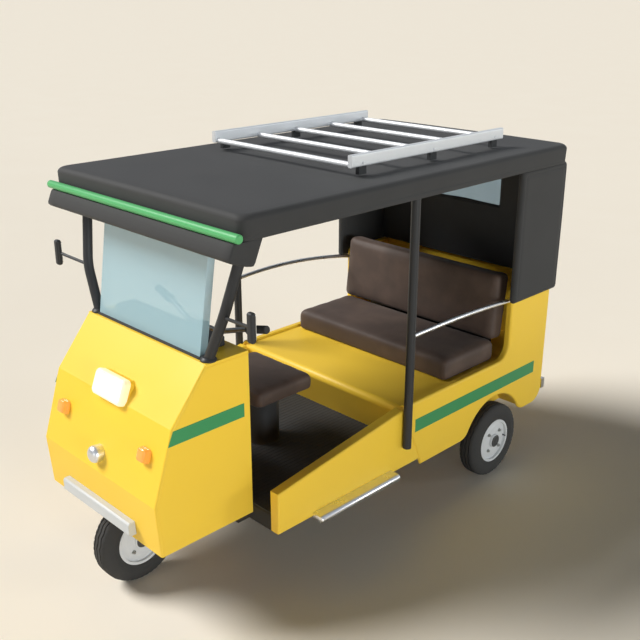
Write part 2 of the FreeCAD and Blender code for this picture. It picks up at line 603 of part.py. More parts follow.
# Louvres that let the engine's warm air out: a half-round hood over each slot.
for i in range(LOUVRE_COUNT):
    louvre_z = LOUVRE_LOW_Z + i * LOUVRE_PITCH
    ends = [Vector(side * LOUVRE_HALF_LENGTH, TUB_REAR_Y, louvre_z) for side in (-1, 1)]
    pressed = rod(ends[0], ends[1], LOUVRE_RADIUS)
    for end in ends:
        pressed = pressed.fuse(Part.makeSphere(LOUVRE_RADIUS, end))
    slot = box(-LOUVRE_HALF_LENGTH, LOUVRE_HALF_LENGTH, inner_y - 1,
               TUB_REAR_Y + LOUVRE_RADIUS / 2, louvre_z - LOUVRE_RADIUS, louvre_z + 2)
    tail = tail.fuse(pressed).cut(slot)
save("tub_rear_panel", tail.removeSplitter())

# ---------------------------------------------------------------- hood, header and pillars
hood_front = NOSE_TOP[0] + HOOD_SETBACK
hood = box(-HOOD_HALF_WIDTH, HOOD_HALF_WIDTH, hood_front, HOOD_REAR_Y, HOOD_BOTTOM, HOOD_TOP)
hood = rounded(hood, HOOD_CORNER_RADIUS, lambda e: e.BoundBox.ZLength > HOOD_THICKNESS - 1)
hood = rounded(hood, HOOD_EDGE_RADIUS, lambda e: e.CenterOfMass.z > HOOD_TOP - 1)
save("hood", hood)

roof_bar_y = hood_front - ROOF_BAR_RADIUS - ROOF_BAR_GAP
roof_bar = rod((-ROOF_BAR_HALF_LENGTH, roof_bar_y, HOOD_BOTTOM + ROOF_BAR_RADIUS),
               (ROOF_BAR_HALF_LENGTH, roof_bar_y, HOOD_BOTTOM + ROOF_BAR_RADIUS), ROOF_BAR_RADIUS)
save("roof_bar", rounded(roof_bar, 6, lambda e: e.BoundBox.XLength < 1))

HEADER_PROFILE = [  # behind the hood's front, below its underside, corner radius
    (-29.0, 0.0, 0.0), (-55.0, 64.0, 16.0), (64.0, 107.0, 16.0), (116.0, 0.0, 0.0)]
header = prism([(hood_front + y, HOOD_BOTTOM - drop, radius)
                for y, drop, radius in HEADER_PROFILE], -HEADER_HALF_WIDTH, HEADER_HALF_WIDTH)

# Each front pillar rises from the shelf, bows outward and leans back under the hood.
PILLAR_LOW_BEND = (0.61, 14.0, 200.0)    # share of the way out, setback, height above the shelf
PILLAR_HIGH_BEND = (12.0, 60.0, 120.0)   # in from the head, setback, below the hood
foot_x, foot_y = COWL_HALF_WIDTH - PILLAR_FOOT[0], NOSE_TOP[0] + PILLAR_FOOT[1]
head_x, head_y = HOOD_HALF_WIDTH - PILLAR_HEAD[0], foot_y + PILLAR_HEAD[1]
A_PILLAR = [Vector(foot_x, foot_y, COWL_TOP),
            Vector(foot_x + PILLAR_LOW_BEND[0] * (head_x - foot_x), foot_y + PILLAR_LOW_BEND[1],
                   COWL_TOP + PILLAR_LOW_BEND[2]),
            Vector(head_x - PILLAR_HIGH_BEND[0], foot_y + PILLAR_HIGH_BEND[1],
                   HOOD_BOTTOM - PILLAR_HIGH_BEND[2]),
            Vector(head_x, head_y, HOOD_BOTTOM)]
# The ends run past the shelf and the hood, and are trimmed flush with them.
foot_run = (A_PILLAR[1] - A_PILLAR[0]).normalize() * 2 * PILLAR_RADIUS
head_run = (A_PILLAR[3] - A_PILLAR[2]).normalize() * 2 * PILLAR_RADIUS
a_pillar = bent_tube([A_PILLAR[0] - foot_run, A_PILLAR[1], A_PILLAR[2], A_PILLAR[3] + head_run],
                     PILLAR_RADIUS, PILLAR_BEND)
a_pillar = a_pillar.common(box(0, HOOD_HALF_WIDTH, NOSE_TOP[0], COWL_REAR_Y, COWL_TOP,
                               HOOD_BOTTOM))
a_pillars = [a_pillar, mirrored(a_pillar)]
save("a_pillars", *a_pillars)
header = header.cut(Part.makeCompound(a_pillars))
save("header", header)

glass_foot, glass_head = NOSE_TOP[0] + GLASS_SETBACK, hood_front + GLASS_HEAD[0]
glass_top = HOOD_BOTTOM - GLASS_HEAD[1]
glass_depth = GLASS_THICKNESS / math.cos(math.atan2(glass_head - glass_foot,
                                                    glass_top - COWL_TOP))
glass = prism([(glass_foot, COWL_TOP), (glass_foot + glass_depth, COWL_TOP),
               (glass_head + glass_depth, glass_top), (glass_head, glass_top)],
              -GLASS_HALF_WIDTH, GLASS_HALF_WIDTH)
save("windscreen", glass.cut(header))

b_pillar_x = BODY_HALF_WIDTH + B_PILLAR_RADIUS
b_pillar = rod((b_pillar_x, B_PILLAR_Y, B_PILLAR_BOTTOM), (b_pillar_x, B_PILLAR_Y, HOOD_BOTTOM),
               B_PILLAR_RADIUS)
save("b_pillars", b_pillar, mirrored(b_pillar))

GRAB_RADIUS = 11.0
GRAB_FALL = 41.0                         # from the B-pillar back to the quarter panel
GRAB_BOW = (2.0, 4.0)                    # its middle, out from the pillar and above the start
grab_start = Vector(b_pillar_x - 4, B_PILLAR_Y + B_PILLAR_RADIUS - 2,
                    SIDE_CURTAIN_BOTTOM + GRAB_FALL)
grab_end = Vector(inner_x - 3, QUARTER_FRONT_Y, SIDE_CURTAIN_BOTTOM)
grab_middle = Vector(b_pillar_x + GRAB_BOW[0], (grab_start.y + grab_end.y) / 2 - 37,
                     grab_start.z + GRAB_BOW[1])
grab_rail = arc_tube(grab_start, grab_middle, grab_end, GRAB_RADIUS).cut(b_pillar).cut(tub_side)
grab_rail = max(grab_rail.Solids, key=lambda s: s.Volume)
save("grab_rails", grab_rail, mirrored(grab_rail))

MIRROR_OUT = Vector(203.0, -33.0, 22.0)  # from the pillar's lower bend to the head's centre
MIRROR_SIZE = (34.0, 26.0, 122.0)        # width, depth, height
MIRROR_EDGE_RADIUS = 11.0
MIRROR_ARM_RADIUS = 7.0
mirror_centre = A_PILLAR[1] + MIRROR_OUT
mirror_head = soft_block(
    mirror_centre.x - MIRROR_SIZE[0] / 2, mirror_centre.x + MIRROR_SIZE[0] / 2,
    mirror_centre.y - MIRROR_SIZE[1] / 2, mirror_centre.y + MIRROR_SIZE[1] / 2,
    mirror_centre.z - MIRROR_SIZE[2] / 2, mirror_centre.z + MIRROR_SIZE[2] / 2,
    MIRROR_EDGE_RADIUS)
mirror_arm = rod(A_PILLAR[1], mirror_centre, MIRROR_ARM_RADIUS).cut(a_pillar)
mirror = mirror_head.fuse(max(mirror_arm.Solids, key=lambda s: s.Volume))
save("mirrors", mirror, mirrored(mirror))

# ---------------------------------------------------------------- seats
bench = box(-BENCH_HALF_WIDTH, BENCH_HALF_WIDTH, BENCH_FRONT_Y, BENCH_REAR_Y, DECK_TOP, BENCH_TOP)
save("bench_cushion", rounded(bench, BENCH_EDGE_RADIUS,
                              lambda e: e.CenterOfMass.y < BENCH_FRONT_Y + 1
                              or abs(e.CenterOfMass.x) > BENCH_HALF_WIDTH - 1))
backrest_foot = BENCH_REAR_Y - BACKREST_OVERLAP
backrest_face = backrest_foot + BACKREST_RAKE
backrest_top = DECK_TOP + BACKREST_HEIGHT
backrest = prism([(BENCH_REAR_Y, DECK_TOP), (BENCH_REAR_Y, BENCH_TOP), (backrest_foot, BENCH_TOP),
                  (backrest_face, backrest_top, BACKREST_EDGE_RADIUS),
                  (backrest_face + BACKREST_TOP_DEPTH, backrest_top, BACKREST_EDGE_RADIUS),
                  (BENCH_REAR_Y + BACKREST_FOOT_DEPTH, DECK_TOP)],
                 -BENCH_HALF_WIDTH, BENCH_HALF_WIDTH)
save("bench_backrest", backrest)

seat_bottom = DRIVER_SEAT_TOP - DRIVER_SEAT_THICKNESS
save("driver_seat", soft_block(-DRIVER_SEAT_HALF_WIDTH, DRIVER_SEAT_HALF_WIDTH,
                               DRIVER_SEAT_FRONT_Y, DRIVER_SEAT_REAR_Y, seat_bottom,
                               DRIVER_SEAT_TOP, DRIVER_SEAT_EDGE_RADIUS))
pedestal_y = (DRIVER_SEAT_FRONT_Y + DRIVER_SEAT_REAR_Y) / 2 + PEDESTAL_SETBACK
flange_out, flange_thickness = PEDESTAL_FLANGE
pedestal = rod((0, pedestal_y, FLOOR_TOP), (0, pedestal_y, seat_bottom), PEDESTAL_RADIUS)
for flange_z in (FLOOR_TOP, seat_bottom - flange_thickness):
    pedestal = pedestal.fuse(rod((0, pedestal_y, flange_z),
                                 (0, pedestal_y, flange_z + flange_thickness),
                                 PEDESTAL_RADIUS + flange_out))
save("seat_pedestal", pedestal)

# ---------------------------------------------------------------- curtains and rear window
curtain_x0 = BODY_HALF_WIDTH + CURTAIN_GAP
curtain_x1 = curtain_x0 + CURTAIN_THICKNESS
side_curtain = box(curtain_x0, curtain_x1, SIDE_CURTAIN_FRONT_Y, TUB_REAR_Y - 2 * CURTAIN_GAP,
                   SIDE_CURTAIN_BOTTOM, HOOD_BOTTOM)
side_curtain = rounded(side_curtain, CURTAIN_EDGE_RADIUS,
                       lambda e: e.CenterOfMass.z < HOOD_BOTTOM - 1 and at_x(e, curtain_x1))
save("side_curtains", side_curtain, mirrored(side_curtain))
rear_reach = curtain_x0 - 1
rear_y0, rear_y1 = TUB_REAR_Y - CURTAIN_THICKNESS, TUB_REAR_Y - CURTAIN_GAP
rear_curtain = box(-rear_reach, rear_reach, rear_y0, rear_y1, QUARTER_TOP, HOOD_BOTTOM)
window_top = HOOD_BOTTOM - WINDOW_DROP
window_hole = box(-WINDOW_HALF_WIDTH, WINDOW_HALF_WIDTH, rear_y0 - 1, rear_y1 + 1,
                  window_top - WINDOW_HEIGHT, window_top)
save("rear_curtain", rear_curtain.cut(window_hole))
window_y = TUB_REAR_Y - CURTAIN_THICKNESS / 2
save("rear_window", window_hole.common(box(
    -WINDOW_HALF_WIDTH, WINDOW_HALF_WIDTH, window_y - WINDOW_THICKNESS / 2,
    window_y + WINDOW_THICKNESS / 2, 0, HOOD_TOP)))

# ---------------------------------------------------------------- roof rack
rack_z0 = HOOD_TOP + RACK_FOOT[2]
rail = box(RACK_HALF_WIDTH - RACK_RAIL[0], RACK_HALF_WIDTH, RACK_FRONT_Y, RACK_REAR_Y, rack_z0,
           rack_z0 + RACK_RAIL[1])
rail = rounded(rail, RACK_RAIL_RADIUS, along_y)
save("rack_rails", rail, mirrored(rail))
bar_reach = RACK_HALF_WIDTH - RACK_RAIL[0]
bar_z = rack_z0 + RACK_BAR_RADIUS + RACK_BAR_LIFT
first_bar = RACK_FRONT_Y + RACK_BAR_INSETS[0]
bar_pitch = (RACK_REAR_Y - RACK_BAR_INSETS[1] - first_bar) / (RACK_BAR_COUNT - 1)
rack_bars = []
for i in range(RACK_BAR_COUNT):
    bar_y = first_bar + i * bar_pitch
    rack_bars.append(rod((-bar_reach, bar_y, bar_z), (bar_reach, bar_y, bar_z), RACK_BAR_RADIUS))
save("rack_bars", *rack_bars)
rack_feet = []
for foot_y in (RACK_FRONT_Y + RACK_FOOT_INSET, (RACK_FRONT_Y + RACK_REAR_Y) / 2,
               RACK_REAR_Y - RACK_FOOT_INSET):
    for side in (-1, 1):
        foot_x = side * (RACK_HALF_WIDTH - RACK_RAIL[0] / 2)
        rack_feet.append(box(foot_x - RACK_FOOT[0] / 2, foot_x + RACK_FOOT[0] / 2,
                             foot_y - RACK_FOOT[1] / 2, foot_y + RACK_FOOT[1] / 2,
                             HOOD_TOP, rack_z0))
save("rack_feet", *rack_feet)

# ---------------------------------------------------------------- chassis, engine, rear suspension
rail_top = FLOOR_BOTTOM
rail_bottom = rail_top - RAIL_HEIGHT
chassis_rail = box(RAIL_OFFSET - RAIL_WIDTH / 2, RAIL_OFFSET + RAIL_WIDTH / 2, CHASSIS_Y[0],
                   CHASSIS_Y[1], rail_bottom, rail_top)
save("chassis_rails", chassis_rail, mirrored(chassis_rail))

engine_y = REAR_AXLE_Y - ENGINE_AHEAD_OF_AXLE
engine = box(-ENGINE_HALF_WIDTH, ENGINE_HALF_WIDTH, engine_y - ENGINE_LENGTH / 2,
             engine_y + ENGINE_LENGTH / 2, rail_bottom - ENGINE_BELOW_RAILS,
             under_deck - ENGINE_HEADROOM)
save("engine_block", engine)

# Cross members tie the rails at their ends, under the driver, at the deck's foot and
# against both ends of the engine.
member_reach = RAIL_OFFSET - RAIL_WIDTH / 2
engine_reach = (ENGINE_LENGTH + CROSS_MEMBER[0]) / 2
members = []
for member_y in (CHASSIS_Y[0] + CROSS_MEMBER[0] / 2, pedestal_y + 50.0,
                 tub_front_y(FLOOR_BOTTOM) - CROSS_MEMBER[0] / 2, engine_y - engine_reach,
                 engine_y + engine_reach, CHASSIS_Y[1] - CROSS_MEMBER[0] / 2):
    members.append(box(-member_reach, member_reach, member_y - CROSS_MEMBER[0] / 2,
                       member_y + CROSS_MEMBER[0] / 2, rail_top - CROSS_MEMBER[1], rail_top))
save("cross_members", *members)

NECK_WIDTH = 70.0
NECK_TOE = 70.0                          # how far the neck's foot reaches ahead of the floor
head_low, head_high = (steer_axis_at(z) for z in HEAD_TUBE_ENDS)
neck_low, neck_high = steer_axis_at(HEAD_TUBE_ENDS[0] + 40), steer_axis_at(HEAD_TUBE_ENDS[1] - 30)
neck = prism([(COWL_REAR_Y - NECK_TOE, FLOOR_BOTTOM), (COWL_REAR_Y, FLOOR_BOTTOM),
              (COWL_REAR_Y, FLOOR_TOP), (neck_high.y + 8, neck_high.z),
              (neck_low.y - 6, neck_low.z)], -NECK_WIDTH / 2, NECK_WIDTH / 2)
bore = rod(steer_axis_at(HEAD_TUBE_ENDS[0] - 60), steer_axis_at(HEAD_TUBE_ENDS[1] + 60),
           COLUMN_RADIUS + BORE_CLEARANCE)
steering_head = neck.fuse(rod(head_low, head_high, HEAD_TUBE_RADIUS)).cut(bore).removeSplitter()
save("steering_head", steering_head)

# Each trailing arm pivots on a rail, bends out round the engine and carries a stub axle; a
# damper stands on it under the deck and a half shaft reaches it from the engine.
arm_pivot = Vector(RAIL_OFFSET + RAIL_WIDTH / 2, REAR_AXLE_Y - ARM_LENGTH,
                   rail_bottom + RAIL_HEIGHT / 2)
axle = Vector(damper_x, REAR_AXLE_Y, TYRE_RADIUS)
boss = Vector(ARM_RADIUS + 4, 0, 0)
stub_end = Vector(REAR_TRACK_HALF + TYRE_WIDTH / 2 - DISC_INSET + BORE_END_CLEARANCE, REAR_AXLE_Y,
                  TYRE_RADIUS)
arm = bent_tube([arm_pivot, Vector(damper_x, arm_pivot.y, arm_pivot.z), axle], ARM_RADIUS, 45)
arm = arm.fuse(rod(axle - boss, stub_end, AXLE_RADIUS))
arm = arm.fuse(rod(axle - boss, axle + boss, ARM_RADIUS + 8))
damper = rod(axle + Vector(0, -DAMPER_AHEAD[0], 20),
             Vector(damper_x, REAR_AXLE_Y - DAMPER_AHEAD[1], under_deck + 10), DAMPER_RADIUS)
arm = arm.fuse(damper.common(box(0, BODY_HALF_WIDTH, 0, TUB_REAR_Y, 0, under_deck)))
half_shaft = rod((0, REAR_AXLE_Y, rail_bottom - 20), axle, SHAFT_RADIUS)
arm = arm.fuse(half_shaft.cut(engine)).cut(chassis_rail)
save("rear_suspension", arm, mirrored(arm))

# ---------------------------------------------------------------- wheels
WHEELS = [  # name, X of the wheel's middle, Y of its axle, side of the disc
    ("front", 0.0, FRONT_AXLE_Y, 1),
    ("rear_left", REAR_TRACK_HALF, REAR_AXLE_Y, 1),
    ("rear_right", -REAR_TRACK_HALF, REAR_AXLE_Y, -1),
]
half = TYRE_WIDTH / 2
bead, shoulder, crown = half - TYRE_BEAD_TUCK, TYRE_RADIUS - TYRE_SHOULDER, half - TYRE_SHOULDER
tyre_profile = [(-bead, RIM_RADIUS), (-half, RIM_RADIUS + 22, 20), (-half, shoulder, 14),
                (-crown, TYRE_RADIUS, 14), (crown, TYRE_RADIUS, 14), (half, shoulder, 14),
                (half, RIM_RADIUS + 22, 20), (bead, RIM_RADIUS)]
barrel = half - RIM_INSET
well = RIM_RADIUS - RIM_WALL
bore_radius = AXLE_RADIUS + BORE_CLEARANCE
bore_end = half - DISC_INSET + 2 * BORE_END_CLEARANCE
disc_out = half - DISC_INSET
disc_in = disc_out - DISC_THICKNESS
# One turned profile: blind bore, hub, dished disc and the barrel that carries the tyre.
rim_profile = [(bore_end, 0), (bore_end, bore_radius), (-disc_out + 4, bore_radius),
               (-disc_out + 4, HUB_RADIUS), (disc_in, HUB_RADIUS), (disc_in, DISC_FLAT_RADIUS - 4),
               (disc_in - DISC_DISH, well - 10), (disc_in - DISC_DISH, well), (-barrel, well),
               (-barrel, RIM_RADIUS), (barrel, RIM_RADIUS), (barrel, well),
               (disc_out - DISC_DISH, well), (disc_out - DISC_DISH, well - 6),
               (disc_out, DISC_FLAT_RADIUS), (disc_out, HUB_RADIUS),
               (half + HUB_CAP, HUB_RADIUS, 8), (half + HUB_CAP, 0)]
for wheel_name, wheel_x, wheel_y, side in WHEELS:
    centre = (wheel_x, wheel_y, TYRE_RADIUS)
    save(wheel_name + "_tyre", turned(tyre_profile, centre, side))
    save(wheel_name + "_rim", turned(rim_profile, centre, side))

# ---------------------------------------------------------------- steering
# The column runs down the raked axis, cranks round the wheel on the right and ends in
# a stub axle, so the wheel comes off sideways.
column_top = steer_axis_at(COLUMN_TOP)
column_low = steer_axis_at(COLUMN_BOTTOM)
front_axle = Vector(-FORK_OFFSET, FRONT_AXLE_Y, TYRE_RADIUS)
fork_boss = Vector(20, 0, 0)
column = rod(column_low, column_top, COLUMN_RADIUS)
crank = bent_tube([column_low, column_low + Vector(-FORK_OFFSET, 0, 0), front_axle],
                  FORK_RADIUS, FORK_BEND)
column = column.fuse(crank).fuse(Part.makeSphere(COLUMN_RADIUS, column_low))
column = column.fuse(rod(front_axle - fork_boss, front_axle + fork_boss, FORK_RADIUS + 8))
column = column.fuse(rod(front_axle, (disc_out + BORE_END_CLEARANCE, FRONT_AXLE_Y, TYRE_RADIUS),
                         AXLE_RADIUS))

bar_middle = steer_axis_at(COLUMN_TOP - BAR_BELOW_TOP)
bar_straight = Vector(BAR_STRAIGHT, 0, 0)
grip_foot, grip_tip = bar_middle + GRIP_FOOT, bar_middle + GRIP_TIP


def flipped(point):
    """The same point on the right-hand side."""
    return Vector(-point.x, point.y, point.z)


grip_way = (grip_tip - grip_foot).normalize()
bar = bent_tube([flipped(grip_tip), flipped(grip_foot), bar_middle - bar_straight,
                 bar_middle + bar_straight, grip_foot, grip_tip], BAR_RADIUS, BAR_BEND)
grip = rod(grip_tip - grip_way * GRIP_LENGTH, grip_tip + grip_way * 4, GRIP_RADIUS)
grip = rounded(grip, 5, lambda e: 80 < e.Length < 120)
grips = [grip, mirrored(grip)]
bar = bar.cut(Part.makeCompound(grips))
bar = max(bar.Solids, key=lambda s: s.Volume)
save("handlebar", bar)
save("handlebar_grips", *grips)
save("steering_column", column.cut(bar))
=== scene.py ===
import math

import bmesh
import bpy
from mathutils import Matrix, Vector, noise


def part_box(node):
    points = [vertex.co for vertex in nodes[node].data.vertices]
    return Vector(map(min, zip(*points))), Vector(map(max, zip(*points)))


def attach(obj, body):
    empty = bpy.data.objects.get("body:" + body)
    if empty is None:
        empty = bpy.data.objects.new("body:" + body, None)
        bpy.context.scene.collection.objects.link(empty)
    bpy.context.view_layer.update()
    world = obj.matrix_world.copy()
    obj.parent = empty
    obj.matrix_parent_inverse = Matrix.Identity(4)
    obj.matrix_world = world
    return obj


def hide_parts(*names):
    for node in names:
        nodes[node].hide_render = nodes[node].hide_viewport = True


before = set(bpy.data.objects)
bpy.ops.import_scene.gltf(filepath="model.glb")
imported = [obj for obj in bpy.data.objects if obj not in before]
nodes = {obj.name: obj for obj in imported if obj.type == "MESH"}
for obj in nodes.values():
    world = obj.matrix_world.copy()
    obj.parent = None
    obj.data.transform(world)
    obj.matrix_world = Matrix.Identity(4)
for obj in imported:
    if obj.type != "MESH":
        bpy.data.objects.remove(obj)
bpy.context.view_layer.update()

# Metres. The vehicle faces -Y, its left side is +X and it stands on Z = 0.


# ---- Sheet-steel body: nose, cowl, low walls and rear tub -----------------------------------
# Folded and pressed 1 mm steel panels, spot-welded and sprayed with yellow enamel. They are
# the CAD panels; here their folds are eased and they get their paint.
def linear(hex_code):
    """An sRGB hex value as the linear colour that shaders take."""
    values = [int(hex_code[i:i + 2], 16) / 255 for i in (1, 3, 5)]
    return tuple(v / 12.92 if v <= 0.04045 else ((v + 0.055) / 1.055) ** 2.4 for v in values) + (1,)


COLOUR_A, COLOUR_B, COLOUR_OUT = 6, 7, 2    # a Mix node's two colours and its result


def add(tree, kind, inputs=None, **settings):
    """One shader node: its settings by name, its inputs as values or as outputs to link."""
    node = tree.nodes.new("ShaderNode" + kind)
    for name, value in settings.items():
        socket = node.inputs.get(name.replace("_", " "))
        if socket is not None and not hasattr(node, name):
            socket.default_value = value
        else:
            setattr(node, name, value)
    for name, source in (inputs or {}).items():
        if isinstance(source, bpy.types.NodeSocket):
            tree.links.new(source, node.inputs[name])
        else:
            node.inputs[name].default_value = source
    return node


def feed(tree, shader, **outputs):
    """Link outputs to the shader's sockets of those names, with _ for each space."""
    for name, output in outputs.items():
        tree.links.new(output, shader.inputs[name.replace("_", " ")])


def finish(name, **sockets):
    """A new material, its node tree and its shader with constant sockets set."""
    material = bpy.data.materials.new(name)
    material.use_nodes = True
    shader = material.node_tree.nodes["Principled BSDF"]
    for socket, value in sockets.items():
        shader.inputs[socket.replace("_", " ")].default_value = value
    return material, material.node_tree, shader


def enamel(name, paint, dust, roughness, peel=0.35):
    """Sprayed alkyd enamel: an even, slightly wavy gloss that dulls where road dust settles."""
    material, tree, shader = finish(name, IOR=1.5, Specular_IOR_Level=0.3)
    place = add(tree, "TexCoord").outputs["Object"]
    # Orange peel is 1 to 2 mm across; it is drawn at 7 mm so that it shows.
    ripple = add(tree, "TexNoise", {"Vector": place}, Scale=1 / 0.007, Detail=1.0)
    # Dust lies in clouds 350 mm across, thickest up to 0.30 m from the ground, thin over 0.85 m.
    cloud = add(tree, "TexNoise", {"Vector": place}, Scale=1 / 0.35, Detail=4.0)
    height = add(tree, "SeparateXYZ", {"Vector": place}).outputs["Z"]
    low = add(tree, "MapRange", {"Value": height}, From_Min=0.30, From_Max=0.85, To_Min=0.30,
              To_Max=0.02)
    film = add(tree, "Math", {0: low.outputs[0], 1: cloud.outputs[0]}, operation="MULTIPLY")
    colour = add(tree, "Mix", {0: film.outputs[0], COLOUR_A: linear(paint),
                               COLOUR_B: linear(dust)}, data_type="RGBA")
    dull = add(tree, "MapRange", {"Value": cloud.outputs[0]}, From_Min=0.3, From_Max=0.7,
               To_Min=roughness - 0.05, To_Max=roughness + 0.08)
    bump = add(tree, "Bump", {"Height": ripple.outputs[0]}, Strength=peel, Distance=0.0001)
    feed(tree, shader, Base_Color=colour.outputs[COLOUR_OUT], Roughness=dull.outputs[0],
         Normal=bump.outputs[0])
    return material


WELD_GAP = 0.00005              # corners nearer than this are one corner
FOLD_ANGLE = math.radians(40)   # edges that turn further than this are eased


def coat(material, *names, ease=0.0):
    """Put a finish on CAD nodes and round their sharp edges by ease metres."""
    for name in names:
        for material_slot in nodes[name].material_slots:
            material_slot.material = material
        if ease:
            weld = nodes[name].modifiers.new("joined corners", "WELD")
            weld.merge_threshold = WELD_GAP
            bevel = nodes[name].modifiers.new("eased edges", "BEVEL")
            bevel.width, bevel.segments, bevel.limit_method = ease, 2, "ANGLE"
            bevel.angle_limit = FOLD_ANGLE
            bevel.harden_normals = True


yellow_enamel = enamel("yellow_alkyd_enamel", "#FED340", "#C8A860", 0.42)
coat(yellow_enamel, "nose_panel", "dash_shelf", "cowl_sides", "side_walls", "seat_deck",
     "tub_sides", "tub_rear_panel", ease=0.002)


# ---- Side stripes ---------------------------------------------------------------------------
# Bands of green self-adhesive vinyl, laid on the flat panels of the cowl and the tub, cut
# square or, at the nose, along the cowl's leaning edge. They are modelled 1.2 mm thick, four
# times the real film, so that their edges catch the light.
def skin(rings, closed=False, capped=True, bm=None):
    """Faces between a row of equal point rings; closed joins the last ring to the first."""
    bm = bm or bmesh.new()
    rows = [[bm.verts.new(p) for p in ring] for ring in rings]
    count = len(rows[0])
    pairs = list(zip(rows, rows[1:] + ([rows[0]] if closed else [])))
    for a, b in pairs:
        for i in range(count):
            j = (i + 1) % count
            bm.faces.new((a[i], a[j], b[j], b[i]))
    if capped and not closed:
        bm.faces.new(rows[0][::-1])
        bm.faces.new(rows[-1])
    return bm


def piece(name, bm, material, body="body", smooth=35):
    """A mesh as a named piece that moves with one body, smooth below an angle in degrees."""
    bmesh.ops.recalc_face_normals(bm, faces=bm.faces)
    mesh = bpy.data.meshes.new(name)
    bm.to_mesh(mesh)
    bm.free()
    mesh.materials.append(material)
    mesh.shade_smooth()
    mesh.set_sharp_from_angle(angle=math.radians(smooth))
    obj = bpy.data.objects.new(name, mesh)
    bpy.context.scene.collection.objects.link(obj)
    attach(obj, body)
    return obj


green_vinyl = enamel("green_stripe_vinyl", "#3F955D", "#6F8B6C", 0.42, peel=0.1)
STRIPE_THICKNESS = 0.0012
STRIPE_BED = 0.0005             # how deep its back is sunk in the panel
STRIPE_EDGE = 0.0006            # how much its outer face is drawn in at the edges
STRIPE_STOP = 0.032             # how far it stops before the cowl's rear edge
TUB_PROUD = 0.015               # how far the tub's flank stands out past the deck
cowl_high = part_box("cowl_sides")[1]
tub_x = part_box("seat_deck")[1].x + TUB_PROUD
STRIPES = [  # panel's X, lower and upper Z, front Y at the lower and upper edge, rear Y
    (cowl_high.x, 0.855, 0.917, -1.1865, -1.1590, cowl_high.y - STRIPE_STOP),
    (tub_x, 0.500, 0.569, 0.128, 0.128, 1.1625),
]
bm = bmesh.new()
for x, z0, z1, y_low, y_high, y_rear in STRIPES:
    outline = [(y_low, z0), (y_rear, z0), (y_rear, z1), (y_high, z1)]
    middle = Vector((sum(p[0] for p in outline) / 4, sum(p[1] for p in outline) / 4))
    for side in (-1, 1):
        rings = []
        for out, inset in ((-STRIPE_BED, 0), (STRIPE_THICKNESS * 0.5, 0),
                           (STRIPE_THICKNESS, STRIPE_EDGE)):
            ring = [Vector(p) + (middle - Vector(p)).normalized() * inset for p in outline]
            rings.append([(side * (x + out), p[0], p[1]) for p in ring])
        skin(rings, bm=bm)
stripes = piece("side_stripes", bm, green_vinyl)


# ---- Bumpers, roof bar, grab rails and step boards ------------------------------------------
# Rolled and drawn steel: the front bumper sprayed silver, the roof bar green, the rear bumper
# nickel-chrome plated and held by two bolts. The grab rails and the folded step boards, which
# have a round outer edge, are plated in satin nickel.
def plating(name, metal, roughness):
    """Bright plated steel: a mirror that a faint haze dulls in clouds 60 mm across."""
    material, tree, shader = finish(name, Metallic=1.0)
    place = add(tree, "TexCoord").outputs["Object"]
    haze = add(tree, "TexNoise", {"Vector": place}, Scale=1 / 0.06, Detail=5.0)
    tone = add(tree, "MapRange", {"Value": haze.outputs[0]}, From_Min=0.35, From_Max=0.65,
               To_Min=roughness, To_Max=roughness + 0.12)
    hazed = tuple(0.82 * v for v in linear(metal)[:3]) + (1,)   # it hides a fifth of the light
    colour = add(tree, "Mix", {0: haze.outputs[0], COLOUR_A: linear(metal), COLOUR_B: hazed},
                 data_type="RGBA")
    feed(tree, shader, Base_Color=colour.outputs[COLOUR_OUT], Roughness=tone.outputs[0])
    return material


def bolt(bm, place, way, across, height, sides=6):
    """A bolt head with a washer, standing on place and facing along way."""
    seat = Matrix.Translation(place) @ Vector(way).to_track_quat("Z", "Y").to_matrix().to_4x4()

    def disc(steps, count, first=0.0):
        """Rings of count points at each step's share of across and height."""
        skin([[seat @ Vector((across * share * math.cos(a), across * share * math.sin(a), z))
               for a in (2 * math.pi * (i + first) / count for i in range(count))]
              for share, z in steps], bm=bm)

    # The washer, and on it the head with its corners chamfered.
    disc([(0.72, -0.001), (0.72, height * 0.2)], 24)
    disc([(0.56, height * 0.2), (0.56, height * 0.85), (0.46, height)], sides, first=0.5)


silver_enamel = enamel("silver_aluminium_enamel", "#CBCFD1", "#B9B6B0", 0.32)
chrome_plate = plating("nickel_chrome_plate", "#E2E3E2", 0.10)
satin_nickel = plating("satin_nickel_plate", "#EEEFF0", 0.26)
zinc_plate = plating("zinc_plated_steel", "#B9BBB8", 0.28)
green_enamel = enamel("green_alkyd_enamel", "#5CB672", "#7B8B6C", 0.32)
coat(silver_enamel, "front_bumper", ease=0.002)
coat(green_enamel, "roof_bar")
coat(chrome_plate, "rear_bumper")
coat(satin_nickel, "grab_rails")
step_low, step_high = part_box("step_bars")
STEP_END = [(0.0, 0.004), (0.0015, 0.001), (0.005, 0.0)]    # distance from the end, inset
STEP_GAP = 0.0005               # left between the board and the wall
ARC_FACES = 8                   # faces round the outer edge
wall_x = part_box("side_walls")[1].x
step_r = (step_high.z - step_low.z) / 2
ends = [(step_low.y + along, inset) for along, inset in STEP_END]
ends += [(step_high.y - along, inset) for along, inset in STEP_END[::-1]]
bm = bmesh.new()
for side in (-1, 1):
    rings = []
    for y, inset in ends:
        ring = [(side * (wall_x + STEP_GAP), y, step_low.z + step_r + k * (step_r - inset))
                for k in (1, 0, -1)]
        for i in range(ARC_FACES + 1):
            turn = math.pi * (i / ARC_FACES - 0.5)
            ring.append((side * (step_high.x - step_r + (step_r - inset) * math.cos(turn)), y,
                         step_low.z + step_r + (step_r - inset) * math.sin(turn)))
        rings.append(ring)
    skin(rings, bm=bm)
step_boards = piece("step_boards", bm, satin_nickel, smooth=50)
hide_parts("step_bars")

